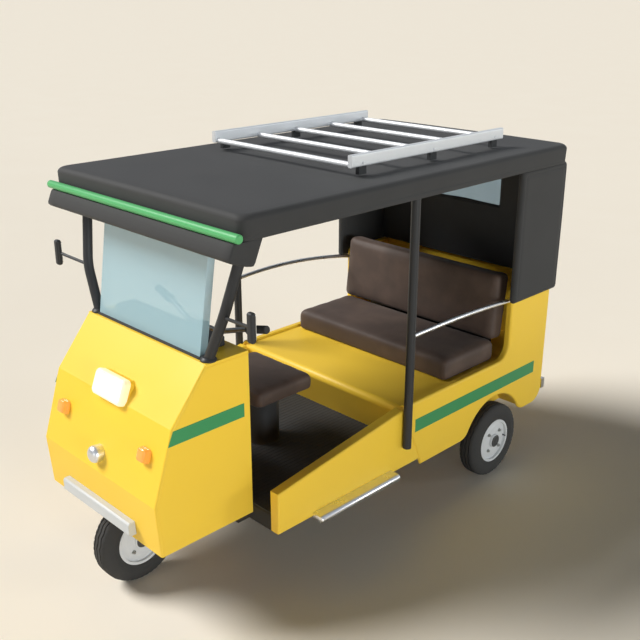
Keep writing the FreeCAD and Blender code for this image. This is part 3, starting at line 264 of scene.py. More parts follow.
BUMPER_BOLT_X = 0.45
bumper_low, bumper_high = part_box("rear_bumper")
bm = bmesh.new()
for x in (-BUMPER_BOLT_X, BUMPER_BOLT_X):
    bolt(bm, (x, bumper_high.y, (bumper_low.z + bumper_high.z) / 2), (0, 1, 0), across=0.016,
         height=0.008)
piece("rear_bumper_bolts", bm, zinc_plate)


# ---- Headlamp, indicators, horn and tail lamps ----------------------------------------------
# The headlamp is a yellow steel shell with a deep moulded opal lens and a fluted glass; the
# indicators and tail lamps are tinted acrylic caps, the tail lamps on rubber seats, and the
# horn is a spun nickel-plated dome on a short drum.
CORNERS = ((1, 1), (-1, 1), (-1, -1), (1, -1))      # their signs, in the order of the points
FULLEST = 0.98                  # share of a half side that a corner's radius may take
LEAST_RADIUS = 0.0004           # of a corner, however far its ring is inset


def loop(half_a, half_b, radius, corner=6, long_side=2, short_side=2):
    """A rounded rectangle as points, with the same count whatever its size."""
    radius = min(radius, half_a * FULLEST, half_b * FULLEST)

    def arc_point(k, turn):
        """Where the arc of corner k is when it faces along turn."""
        a, b = CORNERS[k % 4]
        return (a * (half_a - radius) + radius * math.cos(turn),
                b * (half_b - radius) + radius * math.sin(turn))

    points = []
    for k in range(4):
        points += [arc_point(k, math.pi / 2 * (k + i / corner)) for i in range(corner + 1)]
        start, end = points[-1], arc_point(k + 1, math.pi / 2 * (k + 1))
        count = short_side if k % 2 else long_side
        points += [(start[0] + (end[0] - start[0]) * i / count,
                    start[1] + (end[1] - start[1]) * i / count) for i in range(1, count)]
    return points


def moulding(place, way, half_a, half_b, radius, profile, bm=None, up=(0, 0, 1), **counts):
    """Rounded-rectangle rings at (inset, height) steps along way, capped at both ends."""
    away = Vector(way).normalized()
    across = Vector(up).cross(away).normalized()
    upward = away.cross(across)
    rings = []
    for inset, height in profile:
        shrink = 1 - inset / min(half_a, half_b)
        ring = loop(half_a - inset, half_b - inset, max(radius * shrink, LEAST_RADIUS), **counts)
        rings.append([Vector(place) + across * u + upward * v + away * height for u, v in ring])
    return skin(rings, bm=bm)


def turned(place, way, radius, profile, corner, **more):
    """A round piece turned to a profile, with corner faces to each quarter of a turn."""
    return moulding(place, way, radius, radius, radius, profile, corner=corner, long_side=1,
                    short_side=1, **more)


WAVE = 0.314                    # from crest to crest of a wave texture whose scale is 1


def acrylic(name, tint, deep, glow=0.0):
    """Tinted moulded acrylic: clear gloss over fine vertical ribs that catch the light."""
    material, tree, shader = finish(name, IOR=1.49, Roughness=0.12, Transmission_Weight=0.25,
                                    Emission_Strength=glow, Emission_Color=linear(tint))
    place = add(tree, "TexCoord").outputs["Object"]
    cloud = add(tree, "TexNoise", {"Vector": place}, Scale=1 / 0.03, Detail=2.0)
    colour = add(tree, "Mix", {0: cloud.outputs[0], COLOUR_A: linear(tint),
                               COLOUR_B: linear(deep)}, data_type="RGBA")
    # Prism ribs are 2 mm apart; they are drawn 10 mm apart so that they show.
    ribs = add(tree, "TexWave", {"Vector": place}, Scale=WAVE / 0.010, bands_direction="X")
    bump = add(tree, "Bump", {"Height": ribs.outputs[1]}, Strength=0.4, Distance=0.0006)
    feed(tree, shader, Base_Color=colour.outputs[COLOUR_OUT], Normal=bump.outputs[0])
    return material


lamp_low, lamp_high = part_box("headlamp")
LAMP_TILT = math.radians(21.5)
LAMP_HALF = (0.110, 0.057)
LAMP_CORNER = 0.022
LAMP_DEPTH = 0.082
LENS_RIM = 0.034                # how far the lens reaches back, to the shell
GLASS_INSET = 0.013             # how far the glass lies inside the lens's outline
GLASS_CORNER = 0.012
lamp_way = Vector((0, -math.cos(LAMP_TILT), math.sin(LAMP_TILT)))
lamp_face = Vector((0, lamp_low.y, lamp_high.z)) + Vector((0, math.sin(LAMP_TILT),
                                                          -math.cos(LAMP_TILT))) * LAMP_HALF[1]
# Opal polycarbonate: milky, softly glossy and lit from within, a little warmer in places.
opal, tree, shader = finish("opal_polycarbonate", IOR=1.58, Roughness=0.25,
                            Emission_Color=linear("#FFF6DC"), Emission_Strength=0.35)
place = add(tree, "TexCoord").outputs["Object"]
cloud = add(tree, "TexNoise", {"Vector": place}, Scale=1 / 0.05, Detail=2.0)
colour = add(tree, "Mix", {0: cloud.outputs[0], COLOUR_A: linear("#FFF3CF"),
                           COLOUR_B: linear("#F7E7B6")}, data_type="RGBA")
feed(tree, shader, Base_Color=colour.outputs[COLOUR_OUT])
headlamp = piece("headlamp_shell", moulding(
    lamp_face, lamp_way, *LAMP_HALF, LAMP_CORNER,
    [(0.001, -LAMP_DEPTH), (0.001, -LENS_RIM - 0.002), (0.004, -LENS_RIM)], corner=8),
    yellow_enamel)
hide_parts("headlamp")
lamp_lens = piece("headlamp_lens", moulding(
    lamp_face, lamp_way, *LAMP_HALF, LAMP_CORNER,
    [(0.003, -LENS_RIM - 0.001), (0, -LENS_RIM), (0, -0.014), (0.0006, -0.009),
     (0.0024, -0.0045), (0.0056, -0.0014), (0.010, 0.0), (0.0125, -0.0006), (0.013, -0.004)],
    corner=8), opal)
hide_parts("headlamp")
lit_glass = acrylic("fluted_lamp_glass", "#FFFDF4", "#FFF8E4", glow=0.9)
lamp_glass = piece("headlamp_glass", moulding(
    lamp_face, lamp_way, LAMP_HALF[0] - GLASS_INSET, LAMP_HALF[1] - GLASS_INSET,
    GLASS_CORNER, [(0, -0.006), (0, -0.0015), (0.002, 0.0008), (0.010, 0.0024),
                   (0.028, 0.0034), (0.040, 0.0036)], corner=8), lit_glass)

# EPDM rubber from a mould: near black, matt, and dulled in small patches by bloom.
black_rubber, tree, shader = finish("moulded_epdm_rubber", IOR=1.5, Roughness=0.8)
place = add(tree, "TexCoord").outputs["Object"]
bloom = add(tree, "TexNoise", {"Vector": place}, Scale=1 / 0.02, Detail=4.0)
colour = add(tree, "Mix", {0: bloom.outputs[0], COLOUR_A: linear("#2A2A2A"),
                           COLOUR_B: linear("#3A3937")}, data_type="RGBA")
bump = add(tree, "Bump", {"Height": bloom.outputs[0]}, Strength=0.3, Distance=0.0003)
feed(tree, shader, Base_Color=colour.outputs[COLOUR_OUT], Normal=bump.outputs[0])
amber_acrylic = acrylic("amber_acrylic", "#FFB556", "#FFA648", glow=0.22)
FACET_WAY = Vector((0, -0.312, 0.100)).normalized()     # out of the nose's middle facet
CAP_HALF = (0.028, 0.030)
CAP_CORNER = 0.011
ind_low, ind_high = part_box("indicators")
caps = bmesh.new()
for side in (-1, 1):
    seat = Vector((side * (ind_high.x - CAP_HALF[0]), (ind_low.y + ind_high.y) / 2,
                   (ind_low.z + ind_high.z) / 2))
    moulding(seat, FACET_WAY, *CAP_HALF, CAP_CORNER,
             [(0, -0.020), (0, 0.002), (0.0016, 0.003), (0.0020, 0.012), (0.0035, 0.018),
              (0.008, 0.0215), (0.016, 0.0225)], bm=caps)
indicator_caps = piece("indicator_caps", caps, amber_acrylic)
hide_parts("indicators")

HORN_WAY = (0, -1, 0.12)        # it looks up a little
HORN_DEPTH = 0.016              # from the back of its box to where its heights start
HORN_FULL = 0.001               # how much larger its radius is than the box's
HORN_DROP = 0.002
DOME = [  # inset, height
    (0, -0.014), (0, 0.020), (0.0015, 0.0265), (0.005, 0.0325), (0.0105, 0.0375),
    (0.018, 0.0412), (0.027, 0.0434), (0.036, 0.0440)]
horn_low, horn_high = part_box("horn_dome")
horn_seat = Vector((0, horn_high.y - HORN_DEPTH, (horn_low.z + horn_high.z) / 2 - HORN_DROP))
horn = piece("horn_spun_dome", turned(horn_seat, HORN_WAY, horn_high.x + HORN_FULL, DOME, 12),
             satin_nickel, smooth=50)
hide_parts("horn_dome")

red_acrylic = acrylic("red_acrylic", "#B3140F", "#8E0B0A", glow=0.05)
coat(red_acrylic, "tail_lamps")
TAIL_LAMP_HALF_X = 0.038
TAIL_SEAT_HALF = (0.041, 0.061)
TAIL_SEAT_CORNER = 0.008
tail_low, tail_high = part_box("tail_lamps")
bm = bmesh.new()
for side in (-1, 1):
    middle = Vector((side * (tail_high.x - TAIL_LAMP_HALF_X), tail_low.y,
                     (tail_low.z + tail_high.z) / 2))
    moulding(middle, (0, 1, 0), *TAIL_SEAT_HALF, TAIL_SEAT_CORNER,
             [(0, -0.001), (0, 0.003), (0.002, 0.005)], bm=bm)
piece("tail_lamp_seats", bm, black_rubber)


# ---- Chassis, engine and suspension ---------------------------------------------------------
# Box-section rails, arms and dampers in matt black chassis paint, and a cast engine and
# gearbox hung between the rails. They show from below and through the wheel arches.
black_chassis = enamel("black_chassis_paint", "#1E1E1E", "#5E564A", 0.62)
coat(black_chassis, "chassis_rails", "cross_members", "steering_head", "rear_suspension",
     "steering_column")
# Sand-cast iron: dull grey metal with a gritty skin, stained darker by oil.
cast_iron, tree, shader = finish("sand_cast_iron", Metallic=0.85)
place = add(tree, "TexCoord").outputs["Object"]
# Sand grit leaves a 0.5 mm grain; it is drawn at 3 mm so that it shows.
grit = add(tree, "TexNoise", {"Vector": place}, Scale=1 / 0.003, Detail=3.0)
stain = add(tree, "TexNoise", {"Vector": place}, Scale=1 / 0.12, Detail=5.0)
colour = add(tree, "Mix", {0: stain.outputs[0], COLOUR_A: linear("#56544F"),
                           COLOUR_B: linear("#3A3530")}, data_type="RGBA")
dull = add(tree, "MapRange", {"Value": stain.outputs[0]}, To_Min=0.5, To_Max=0.85)
bump = add(tree, "Bump", {"Height": grit.outputs[0]}, Strength=0.6, Distance=0.0005)
feed(tree, shader, Base_Color=colour.outputs[COLOUR_OUT], Roughness=dull.outputs[0],
     Normal=bump.outputs[0])
coat(cast_iron, "engine_block", ease=0.006)


# ---- Cab floor ------------------------------------------------------------------------------
# A pressed floor tray in black chassis paint, covered by a moulded rubber mat whose low ribs
# run fore and aft, 24 mm apart, up to the leaning front of the seat deck.
coat(black_chassis, "floor_plate")
floor_low, floor_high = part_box("floor_plate")
deck_low, deck_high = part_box("seat_deck")
DECK_LEAN = math.radians(24)
RIB_PITCH = 0.024
RIB_HEIGHT = 0.0013
RIB = ((0.0, 0), (0.0015, 1), (0.0075, 1), (0.009, 0))      # distance across, share of height
MAT_THICKNESS = 0.003
MAT_BED = 0.001                 # how deep its underside is sunk in the tray
MAT_GAP = 0.004                 # left free along the tray's edges
DECK_GAP = 0.006                # left free before the seat deck
mat_half = floor_high.x - MAT_GAP
mat_top = floor_high.z + MAT_THICKNESS
mat_rear = deck_low.y + (deck_high.z - floor_high.z) * math.tan(DECK_LEAN) - DECK_GAP
section = [(-mat_half, floor_high.z - MAT_BED), (-mat_half, mat_top)]
for i in range(int(2 * mat_half / RIB_PITCH)):
    x = -mat_half + (i + 0.5) * RIB_PITCH
    section += [(x + across, mat_top + rise * RIB_HEIGHT) for across, rise in RIB]
section += [(mat_half, mat_top), (mat_half, floor_high.z - MAT_BED)]
bm = skin([[(x, y, z) for x, z in section] for y in (floor_low.y + MAT_GAP, mat_rear)])
floor_mat = piece("ribbed_floor_mat", bm, black_rubber)


# ---- Pillars, dashboard, seat pedestal and windscreen ---------------------------------------
# Bent steel tube pillars in satin black enamel, their feet in turned collars, with the folded
# dashboard and the seat's rolled steel drum in the same paint. The screen is a tinted slab of
# laminated glass in a rubber channel on the shelf.
black_enamel = enamel("satin_black_enamel", "#2F3032", "#6B655B", 0.42)
coat(black_enamel, "a_pillars", "b_pillars", "dashboard")
COLLAR_RADIUS = 0.034
COLLAR = [(0, -0.001), (0, 0.006), (0.003, 0.010), (0.008, 0.016), (0.011, 0.017)]
FOOT_BAND = 0.002               # height over the shelf within which a point is a foot's
shelf_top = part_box("dash_shelf")[1].z
pillar_feet = [v.co for v in nodes["a_pillars"].data.vertices
               if v.co.z < shelf_top + FOOT_BAND]
bm = bmesh.new()
for side in (-1, 1):
    ring = [v for v in pillar_feet if v.x * side > 0]
    middle = sum((Vector(v) for v in ring), Vector()) / len(ring)
    turned((middle.x, middle.y, shelf_top), (0, 0, 1), COLLAR_RADIUS, COLLAR, 8, bm=bm,
           up=(0, 1, 0))
piece("pillar_collars", bm, black_enamel)

drum_low, drum_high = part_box("seat_pedestal")
drum_middle = (drum_low + drum_high) / 2
drum_tall = drum_high.z - drum_low.z
DRUM = [(0.0, 0.0), (0.0, 0.004), (0.0015, 0.006), (0.003, 0.009), (0.003, drum_tall - 0.006),
        (0.002, drum_tall - 0.002), (0.002, drum_tall)]
drum = piece("seat_drum", turned((0, drum_middle.y, drum_low.z), (0, 0, 1),
                                 (drum_high.x - drum_low.x) / 2, DRUM, 16, up=(0, 1, 0)),
             black_enamel)
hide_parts("seat_pedestal")

glass_low, glass_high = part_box("windscreen")
# Laminated glass with a blue-green tint, a little deeper at the top, and faint wiper smears.
tinted_glass, tree, shader = finish("tinted_laminated_glass", IOR=1.5, Alpha=0.66)
place = add(tree, "TexCoord").outputs["Object"]
film = add(tree, "TexNoise", {"Vector": place}, Scale=1 / 0.25, Detail=4.0)
height = add(tree, "SeparateXYZ", {"Vector": place}).outputs["Z"]
band = add(tree, "MapRange", {"Value": height}, From_Min=glass_low.z, From_Max=glass_high.z)
tint = add(tree, "Mix", {0: band.outputs[0], COLOUR_A: linear("#B2D6E2"),
                         COLOUR_B: linear("#A6C8D4")}, data_type="RGBA")
smear = add(tree, "MapRange", {"Value": film.outputs[0]}, From_Min=0.4, From_Max=0.7,
            To_Min=0.03, To_Max=0.14)
feed(tree, shader, Base_Color=tint.outputs[COLOUR_OUT], Roughness=smear.outputs[0])
coat(tinted_glass, "windscreen")
GLASS_DEPTH = 0.036
CHANNEL_WALL = 0.007
CHANNEL_CORNER = 0.006
gasket_centre = (0, glass_low.y + GLASS_DEPTH / 2, shelf_top)
screen_gasket = piece("screen_channel", moulding(
    gasket_centre, (0, 0, 1), glass_high.x + CHANNEL_WALL, GLASS_DEPTH / 2 + CHANNEL_WALL,
    CHANNEL_CORNER, [(0, -0.001), (0, 0.005), (0.002, 0.008), (0.006, 0.009)], up=(0, 1, 0)),
    black_rubber)


# ---- Mirrors --------------------------------------------------------------------------------
# Narrow moulded heads on rod arms, in the black of the pillars. Each carries a slightly domed
# mirror glass that faces aft.
coat(black_enamel, "mirrors")
mirror_silver = plating("silvered_mirror_glass", "#E8EBEC", 0.02)
HEAD_HALF_X = 0.017
HEAD_REAR = 0.0255              # from the head's front to the face that holds the glass
MIRROR_HALF = (0.012, 0.052)
MIRROR_CORNER = 0.007
mirror_low, mirror_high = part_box("mirrors")
bm = bmesh.new()
for side in (-1, 1):
    middle = Vector((side * (mirror_high.x - HEAD_HALF_X), mirror_low.y + HEAD_REAR,
                     (mirror_high.z + mirror_low.z) / 2))
    moulding(middle, (0, 1, 0), *MIRROR_HALF, MIRROR_CORNER,
             [(0, -0.001), (0, 0.001), (0.003, 0.0018), (0.009, 0.0024)], bm=bm, corner=5)
piece("mirror_glasses", bm, mirror_silver)


# ---- Seats ----------------------------------------------------------------------------------
# Foam blocks in plain leathercloth covers, glued down and closed underneath, so that no seam
# shows: a bench cushion, its backrest and the driver's seat. The backrest stands on the bench
# against a painted board.
def leathercloth(name, brown, worn):
    """PVC leathercloth: pebbled grain, a soft gloss, paler where people sit."""
    material, tree, shader = finish(name, IOR=1.46, Sheen_Weight=0.08, Sheen_Roughness=0.5)
    place = add(tree, "TexCoord").outputs["Object"]
    # The embossed grain is 1.5 mm across; it is drawn at 4 mm so that it shows.
    grain = add(tree, "TexVoronoi", {"Vector": place}, Scale=1 / 0.004, feature="SMOOTH_F1")
    rub = add(tree, "TexNoise", {"Vector": place}, Scale=1 / 0.16, Detail=5.0)
    mask = add(tree, "MapRange", {"Value": rub.outputs[0]}, From_Min=0.42, From_Max=0.72)
    colour = add(tree, "Mix", {0: mask.outputs[0], COLOUR_A: linear(brown),
                               COLOUR_B: linear(worn)}, data_type="RGBA")
    gloss = add(tree, "MapRange", {"Value": rub.outputs[0]}, To_Min=0.72, To_Max=0.56)
    bump = add(tree, "Bump", {"Height": grain.outputs[0]}, Strength=0.25, Distance=0.0006)
    feed(tree, shader, Base_Color=colour.outputs[COLOUR_OUT], Roughness=gloss.outputs[0],
         Normal=bump.outputs[0])
    return material


PRESSURE = 4.0                  # of the foam in its cover
SETTLING = 16                   # steps that the cloth is given to fill out


def bake(obj):
    """Make what the modifiers give the object's own mesh."""
    mesh = bpy.data.meshes.new_from_object(
        obj.evaluated_get(bpy.context.evaluated_depsgraph_get()))
    obj.modifiers.clear()
    obj.data = mesh


def stuff(obj, voxel, swell, floor_z, rear_y=None):
    """Fill a closed cover: remesh it, blow it up as cloth and hold it to its seat."""
    scene = bpy.context.scene
    remesh = obj.modifiers.new("remesh", "REMESH")
    remesh.mode, remesh.voxel_size, remesh.use_smooth_shade = "VOXEL", voxel, True
    bake(obj)
    start = [v.co.copy() for v in obj.data.vertices]
    cloth = obj.modifiers.new("cloth", "CLOTH")
    cloth.settings.use_pressure = True
    cloth.settings.uniform_pressure_force = PRESSURE
    cloth.settings.effector_weights.gravity = 0.0
    cloth.settings.quality = 4
    for number in range(1, SETTLING + 1):
        scene.frame_set(number)
    bake(obj)
    scene.frame_set(1)
    for vertex, at_first in zip(obj.data.vertices, start):
        move = vertex.co - at_first
        if move.length > swell:
            vertex.co = at_first + move * (swell / move.length)
        vertex.co.z = max(vertex.co.z, floor_z)
        if rear_y is not None:
            vertex.co.y = min(vertex.co.y, rear_y)


def dress(obj):
    """Smooth a stuffed cover and let its surface round off."""
    smooth = obj.modifiers.new("settled cover", "SMOOTH")
    smooth.factor, smooth.iterations = 0.5, 4
    obj.modifiers.new("fine cover", "SUBSURF").levels = 1
    bake(obj)
    obj.data.shade_smooth()


brown_leathercloth = leathercloth("brown_leathercloth", "#47372E", "#58463B")
FULL = 0.014                    # how far foam swells its cover past the block it was cut to
BLOCK_FOOT = [(0.010, 0.0), (0.002, 0.006), (0.0, 0.018)]   # inset, height above the bottom
BLOCK_TOP = [(0.0, -0.028), (0.004, -0.012), (0.014, -0.003), (0.032, 0.0)]     # or from the top
CROWN = 0.003                   # how much fuller the middle of the top is
CROWN_RINGS = (0.4, 0.7, 0.97)  # shares of the way from the edge to the middle
COVER_CORNER = 0.030


def cover(place, way, half_a, half_b, depth, up, **counts):
    """A cushion cover: rounded block with eased edges and a slightly fuller middle."""
    profile = BLOCK_FOOT + [(0.0, depth * 0.5)] + [(i, depth + h) for i, h in BLOCK_TOP]
    profile += [(min(half_a, half_b) * s, depth + CROWN * (1 - (1 - s) ** 2))
                for s in CROWN_RINGS]
    return moulding(place, way, half_a, half_b, COVER_CORNER, profile, up=up, corner=6, **counts)


bench_low, bench_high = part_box("bench_cushion")
bench_middle = (bench_low + bench_high) / 2
bench_half = (bench_high - bench_low) / 2
COVER_GAP = 0.001               # by which a cover starts smaller than its block
bench = piece("bench_seat_cushion", cover(
    (0, bench_middle.y, bench_low.z), (0, 0, 1), bench_half.x + FULL, bench_half.y - COVER_GAP,
    bench_high.z - bench_low.z, (0, 1, 0), long_side=12, short_side=6), brown_leathercloth)
stuff(bench, voxel=0.011, swell=0.009, floor_z=bench_low.z)
dress(bench)
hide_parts("bench_cushion")

back_low, back_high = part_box("bench_backrest")
BACK_DEPTH = 0.100
BACK_RAKE = 0.040               # its front face leans back by this, foot to top
BACK_RISE = 0.006               # how much further than FULL its top swells
BACK_SINK = 0.002               # how far its foot may press into the bench
back_up = Vector((0, BACK_RAKE, back_high.z - bench_high.z)).normalized()
back_way = Vector((1, 0, 0)).cross(back_up)
back_half = (back_high.z + FULL + BACK_RISE - bench_high.z) / back_up.z / 2
back_face = Vector((0, back_low.y, bench_high.z)) + back_up * back_half
back_rear = back_face - back_way * BACK_DEPTH
backrest = piece("bench_back_cushion", cover(
    back_rear, back_way, back_high.x + FULL, back_half - COVER_GAP, BACK_DEPTH, back_up,
    long_side=12, short_side=6), brown_leathercloth)
stuff(backrest, voxel=0.011, swell=0.008, floor_z=bench_high.z - BACK_SINK, rear_y=back_high.y)
dress(backrest)
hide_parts("bench_backrest")

BOARD_THICKNESS = 0.012
BOARD_GAP = 0.004               # left free behind it
BOARD_DROP = 0.03               # how much lower than the backrest its top is
BOARD_SIDE = 0.090              # how much shorter than the backrest it is at each side
BOARD_CORNER = 0.012
board_low, board_top = back_low.z, back_high.z - BOARD_DROP
board = piece("backrest_board", moulding(
    (0, back_high.y - BOARD_THICKNESS - BOARD_GAP, (board_low + board_top) / 2), (0, 1, 0),
    back_high.x - BOARD_SIDE, (board_top - board_low) / 2, BOARD_CORNER,
    [(0.001, 0), (0, 0.001), (0, 0.011), (0.001, BOARD_THICKNESS)]), black_enamel)
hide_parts("bench_backrest")

seat_low, seat_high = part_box("driver_seat")
seat_middle = (seat_low + seat_high) / 2
seat_half = (seat_high - seat_low) / 2
SEAT_FULL = (0.004, 0.005)      # how far its foam swells fore and aft, and upwards
driver_seat = piece("driver_seat_cushion", cover(
    (0, seat_middle.y, seat_low.z), (0, 0, 1), seat_half.x + FULL, seat_half.y + SEAT_FULL[0],
    seat_high.z - seat_low.z + SEAT_FULL[1], (0, 1, 0), long_side=6, short_side=6),
    brown_leathercloth)
stuff(driver_seat, voxel=0.008, swell=0.006, floor_z=seat_low.z)
dress(driver_seat)
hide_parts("driver_seat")


# ---- Hood, liner and front visor ------------------------------------------------------------
# PVC-coated canvas cut as one sheet, stretched over three roof bows and pulled down over the
# edges to a bound hem. A liner hangs on the bows below it, and a padded visor closes the front.
def canvas(name, black, faded):
    """Coated canvas: matt, a faint weave, greyer where the sun has bleached it."""
    material, tree, shader = finish(name, IOR=1.45, Sheen_Weight=0.05, Sheen_Roughness=0.6)
    place = add(tree, "TexCoord").outputs["Object"]
    # Threads are 0.8 mm apart; the weave is drawn at 8 mm so that it shows.
    threads = [add(tree, "TexWave", {"Vector": place}, Scale=WAVE / 0.008, bands_direction=way)
               for way in "XYZ"]
    weave = threads[0].outputs[1]
    for thread in threads[1:]:
        weave = add(tree, "Math", {0: weave, 1: thread.outputs[1]}, operation="ADD").outputs[0]
    cloud = add(tree, "TexNoise", {"Vector": place}, Scale=1 / 0.30, Detail=6.0)
    mask = add(tree, "MapRange", {"Value": cloud.outputs[0]}, From_Min=0.35, From_Max=0.70)
    colour = add(tree, "Mix", {0: mask.outputs[0], COLOUR_A: linear(black),
                               COLOUR_B: linear(faded)}, data_type="RGBA")
    rough = add(tree, "MapRange", {"Value": cloud.outputs[0]}, To_Min=0.62, To_Max=0.85)
    bump = add(tree, "Bump", {"Height": weave}, Strength=0.12, Distance=0.0005)
    feed(tree, shader, Base_Color=colour.outputs[COLOUR_OUT], Roughness=rough.outputs[0],
         Normal=bump.outputs[0])
    return material


black_canvas = canvas("coated_black_canvas", "#2C2C2C", "#363636")
hood_low, hood_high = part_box("hood")
hood_middle = (hood_low + hood_high) / 2
hood_half = (hood_high - hood_low) / 2
hood_tall = hood_high.z - hood_low.z
CANVAS = 0.003                  # thickness of the coated canvas and its backing
EDGE = 0.026                    # radius where the top turns down
HOOD_CORNER = 0.044             # radius of a corner, seen from above
BAYS = 4                        # between the roof bows and the ends
SAG = 0.004                     # how far the canvas sinks between two bows
SAG_EDGE = 0.25                 # how far from the sides the sag is at its full depth
CROWN_FALL = 0.003              # how much lower the top is at the sides
RIPPLE = 0.0012                 # how far the sides wander in and out
SKIRT = [(0.0045, 0.0), (0.0015, 0.02), (0.001, 0.045)]     # inset, height of the hanging sides
EDGE_FACES, TOP_FACES = 7, 16
HALF_GAP = 0.0006               # from the middle to the last row, before the rows are joined
profile = list(SKIRT)
for i in range(EDGE_FACES + 1):
    turn = math.pi / 2 * i / EDGE_FACES
    profile.append((EDGE * (1 - math.cos(turn)), hood_tall - EDGE + EDGE * math.sin(turn)
                    - CANVAS))
for i in range(1, TOP_FACES + 1):
    profile.append((EDGE + (hood_half.x - EDGE - HALF_GAP) * i / TOP_FACES, hood_tall - CANVAS))
bm = moulding((0, hood_middle.y, hood_low.z), (0, 0, 1), hood_half.x, hood_half.y, HOOD_CORNER,
              profile, up=(0, 1, 0), corner=8, long_side=48, short_side=28)
# The lower end is left open, and the two rows at the middle of the top become one.
bmesh.ops.delete(bm, geom=[f for f in bm.faces if len(f.verts) > 4], context="FACES_ONLY")
bmesh.ops.remove_doubles(bm, verts=[v for v in bm.verts if abs(v.co.x) < 0.001], dist=0.0015)
for vertex in bm.verts:
    along = (vertex.co.y - hood_low.y) / (2 * hood_half.y)
    inward = min(1.0, (hood_half.x - abs(vertex.co.x)) / SAG_EDGE)
    if vertex.co.z > hood_high.z - EDGE:
        bay = math.sin(math.pi * along * BAYS) ** 2
        fall = SAG * bay * max(inward, 0.0)
        crown = CROWN_FALL * (abs(vertex.co.x) / hood_half.x) ** 2
        vertex.co.z -= fall + crown
    pull = noise.noise(Vector((vertex.co.x * 4, vertex.co.y * 4, vertex.co.z * 9)))
    if vertex.co.z < hood_high.z - EDGE:
        away = Vector((vertex.co.x, vertex.co.y - hood_middle.y, 0)).normalized()
        vertex.co += away * RIPPLE * pull
hood_canvas = piece("hood_canvas", bm, black_canvas)
shell = hood_canvas.modifiers.new("canvas thickness", "SOLIDIFY")
shell.thickness, shell.offset = CANVAS, -1
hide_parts("hood")
HEM_INSET = 0.0045
HEM = ((0.0035, 0.002), (0.0042, 0.010), (0.0040, 0.022), (0.0015, 0.026), (-0.0030, 0.022),
       (-0.0036, 0.002), (0.0, -0.0012))    # distance out, height
hem_rings = []
for along, across in loop(hood_half.y - HEM_INSET, hood_half.x - HEM_INSET, HOOD_CORNER,
                          corner=8, long_side=24, short_side=40):
    place = Vector((across, hood_middle.y + along, hood_low.z))
    away = Vector((across, along, 0)).normalized()
    hem_rings.append([place + away * out + Vector((0, 0, z)) for out, z in HEM])
hood_hem = piece("hood_hem", skin(hem_rings, closed=True), black_canvas)

LINER_GAP = 0.014               # between the liner's edge and the hood's outside
LINER_LIFT = 0.012              # its height above the hood's lower edge, between two bows
LINER_SWAG = 0.010              # how much higher it is at a bow
LINER_THICKNESS = 0.002
COLUMNS, ROWS = 12, 64
liner_half = (hood_half.x - LINER_GAP, hood_half.y - LINER_GAP)
bm = bmesh.new()
grid = []
for j in range(ROWS + 1):
    bay = math.sin(math.pi * (j / ROWS) * BAYS) ** 2
    y = hood_middle.y + liner_half[1] * (2 * j / ROWS - 1)
    z = hood_low.z + LINER_LIFT + LINER_SWAG * (1 - bay)
    grid.append([bm.verts.new((liner_half[0] * (2 * i / COLUMNS - 1), y, z))
                 for i in range(COLUMNS + 1)])
for a, b in zip(grid, grid[1:]):
    for i in range(COLUMNS):
        bm.faces.new((a[i], a[i + 1], b[i + 1], b[i]))
liner_cloth = canvas("grey_headlining_cloth", "#2E2E2E", "#383838")
liner = piece("hood_liner", bm, liner_cloth)
thick = liner.modifiers.new("cloth thickness", "SOLIDIFY")
thick.thickness = LINER_THICKNESS

VISOR = [  # distance back from the hood's front, drop below its lower edge
    (-0.027, 0.002), (-0.034, 0.012), (-0.051, 0.052), (-0.051, 0.064), (-0.042, 0.073),
    (-0.012, 0.085), (0.030, 0.0985), (0.052, 0.103), (0.064, 0.103), (0.072, 0.094),
    (0.084, 0.068), (0.104, 0.020), (0.111, 0.002)]
VISOR_END = [(0.992, 0.0), (0.998, 0.004), (1, 0.010)]      # share of its half width, inset
VISOR_STEPS = 14                # sections from its middle to each end
TUCK = 0.0015                   # how far the padding wanders in and out
visor_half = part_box("header")[1].x
visor_centre = Vector((0.02, 0.05))     # the middle of its section, in the same terms
steps = [(-share, inset) for share, inset in VISOR_END[::-1]]
steps += [(k / VISOR_STEPS, 0.0) for k in range(1 - VISOR_STEPS, VISOR_STEPS)] + VISOR_END
rings = []
for share, inset in steps:
    ring = []
    for back, drop in VISOR:
        point = Vector((back, drop))
        point += (visor_centre - point).normalized() * inset
        tuck = TUCK * noise.noise(Vector((share * 9, back * 30, drop * 30)))
        ring.append((share * visor_half, hood_low.y + point.x + tuck, hood_low.z - point.y))
    rings.append(ring)
visor = piece("front_visor_pad", skin(rings), black_canvas, smooth=50)
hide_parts("header")


# ---- Side and rear curtains -----------------------------------------------------------------
# Two layers of canvas over a felt lining, sewn round the edge and laced under the hood. The
# rear one has a clear sheet window held in a rubber frame.
CURTAIN_THICKNESS = 0.038
CURTAIN_CORNER = 0.016
CURTAIN_WAVE = 0.0016           # how far its faces wander in and out
SEWN_LINE = ((0.0225, 0.0001), (0.0240, 0.0009), (0.0255, 0.0001), (0.05, 0.0), (0.10, 0.0))
# Its columns are the distance from the curtain's edge and the depth below the plain face.


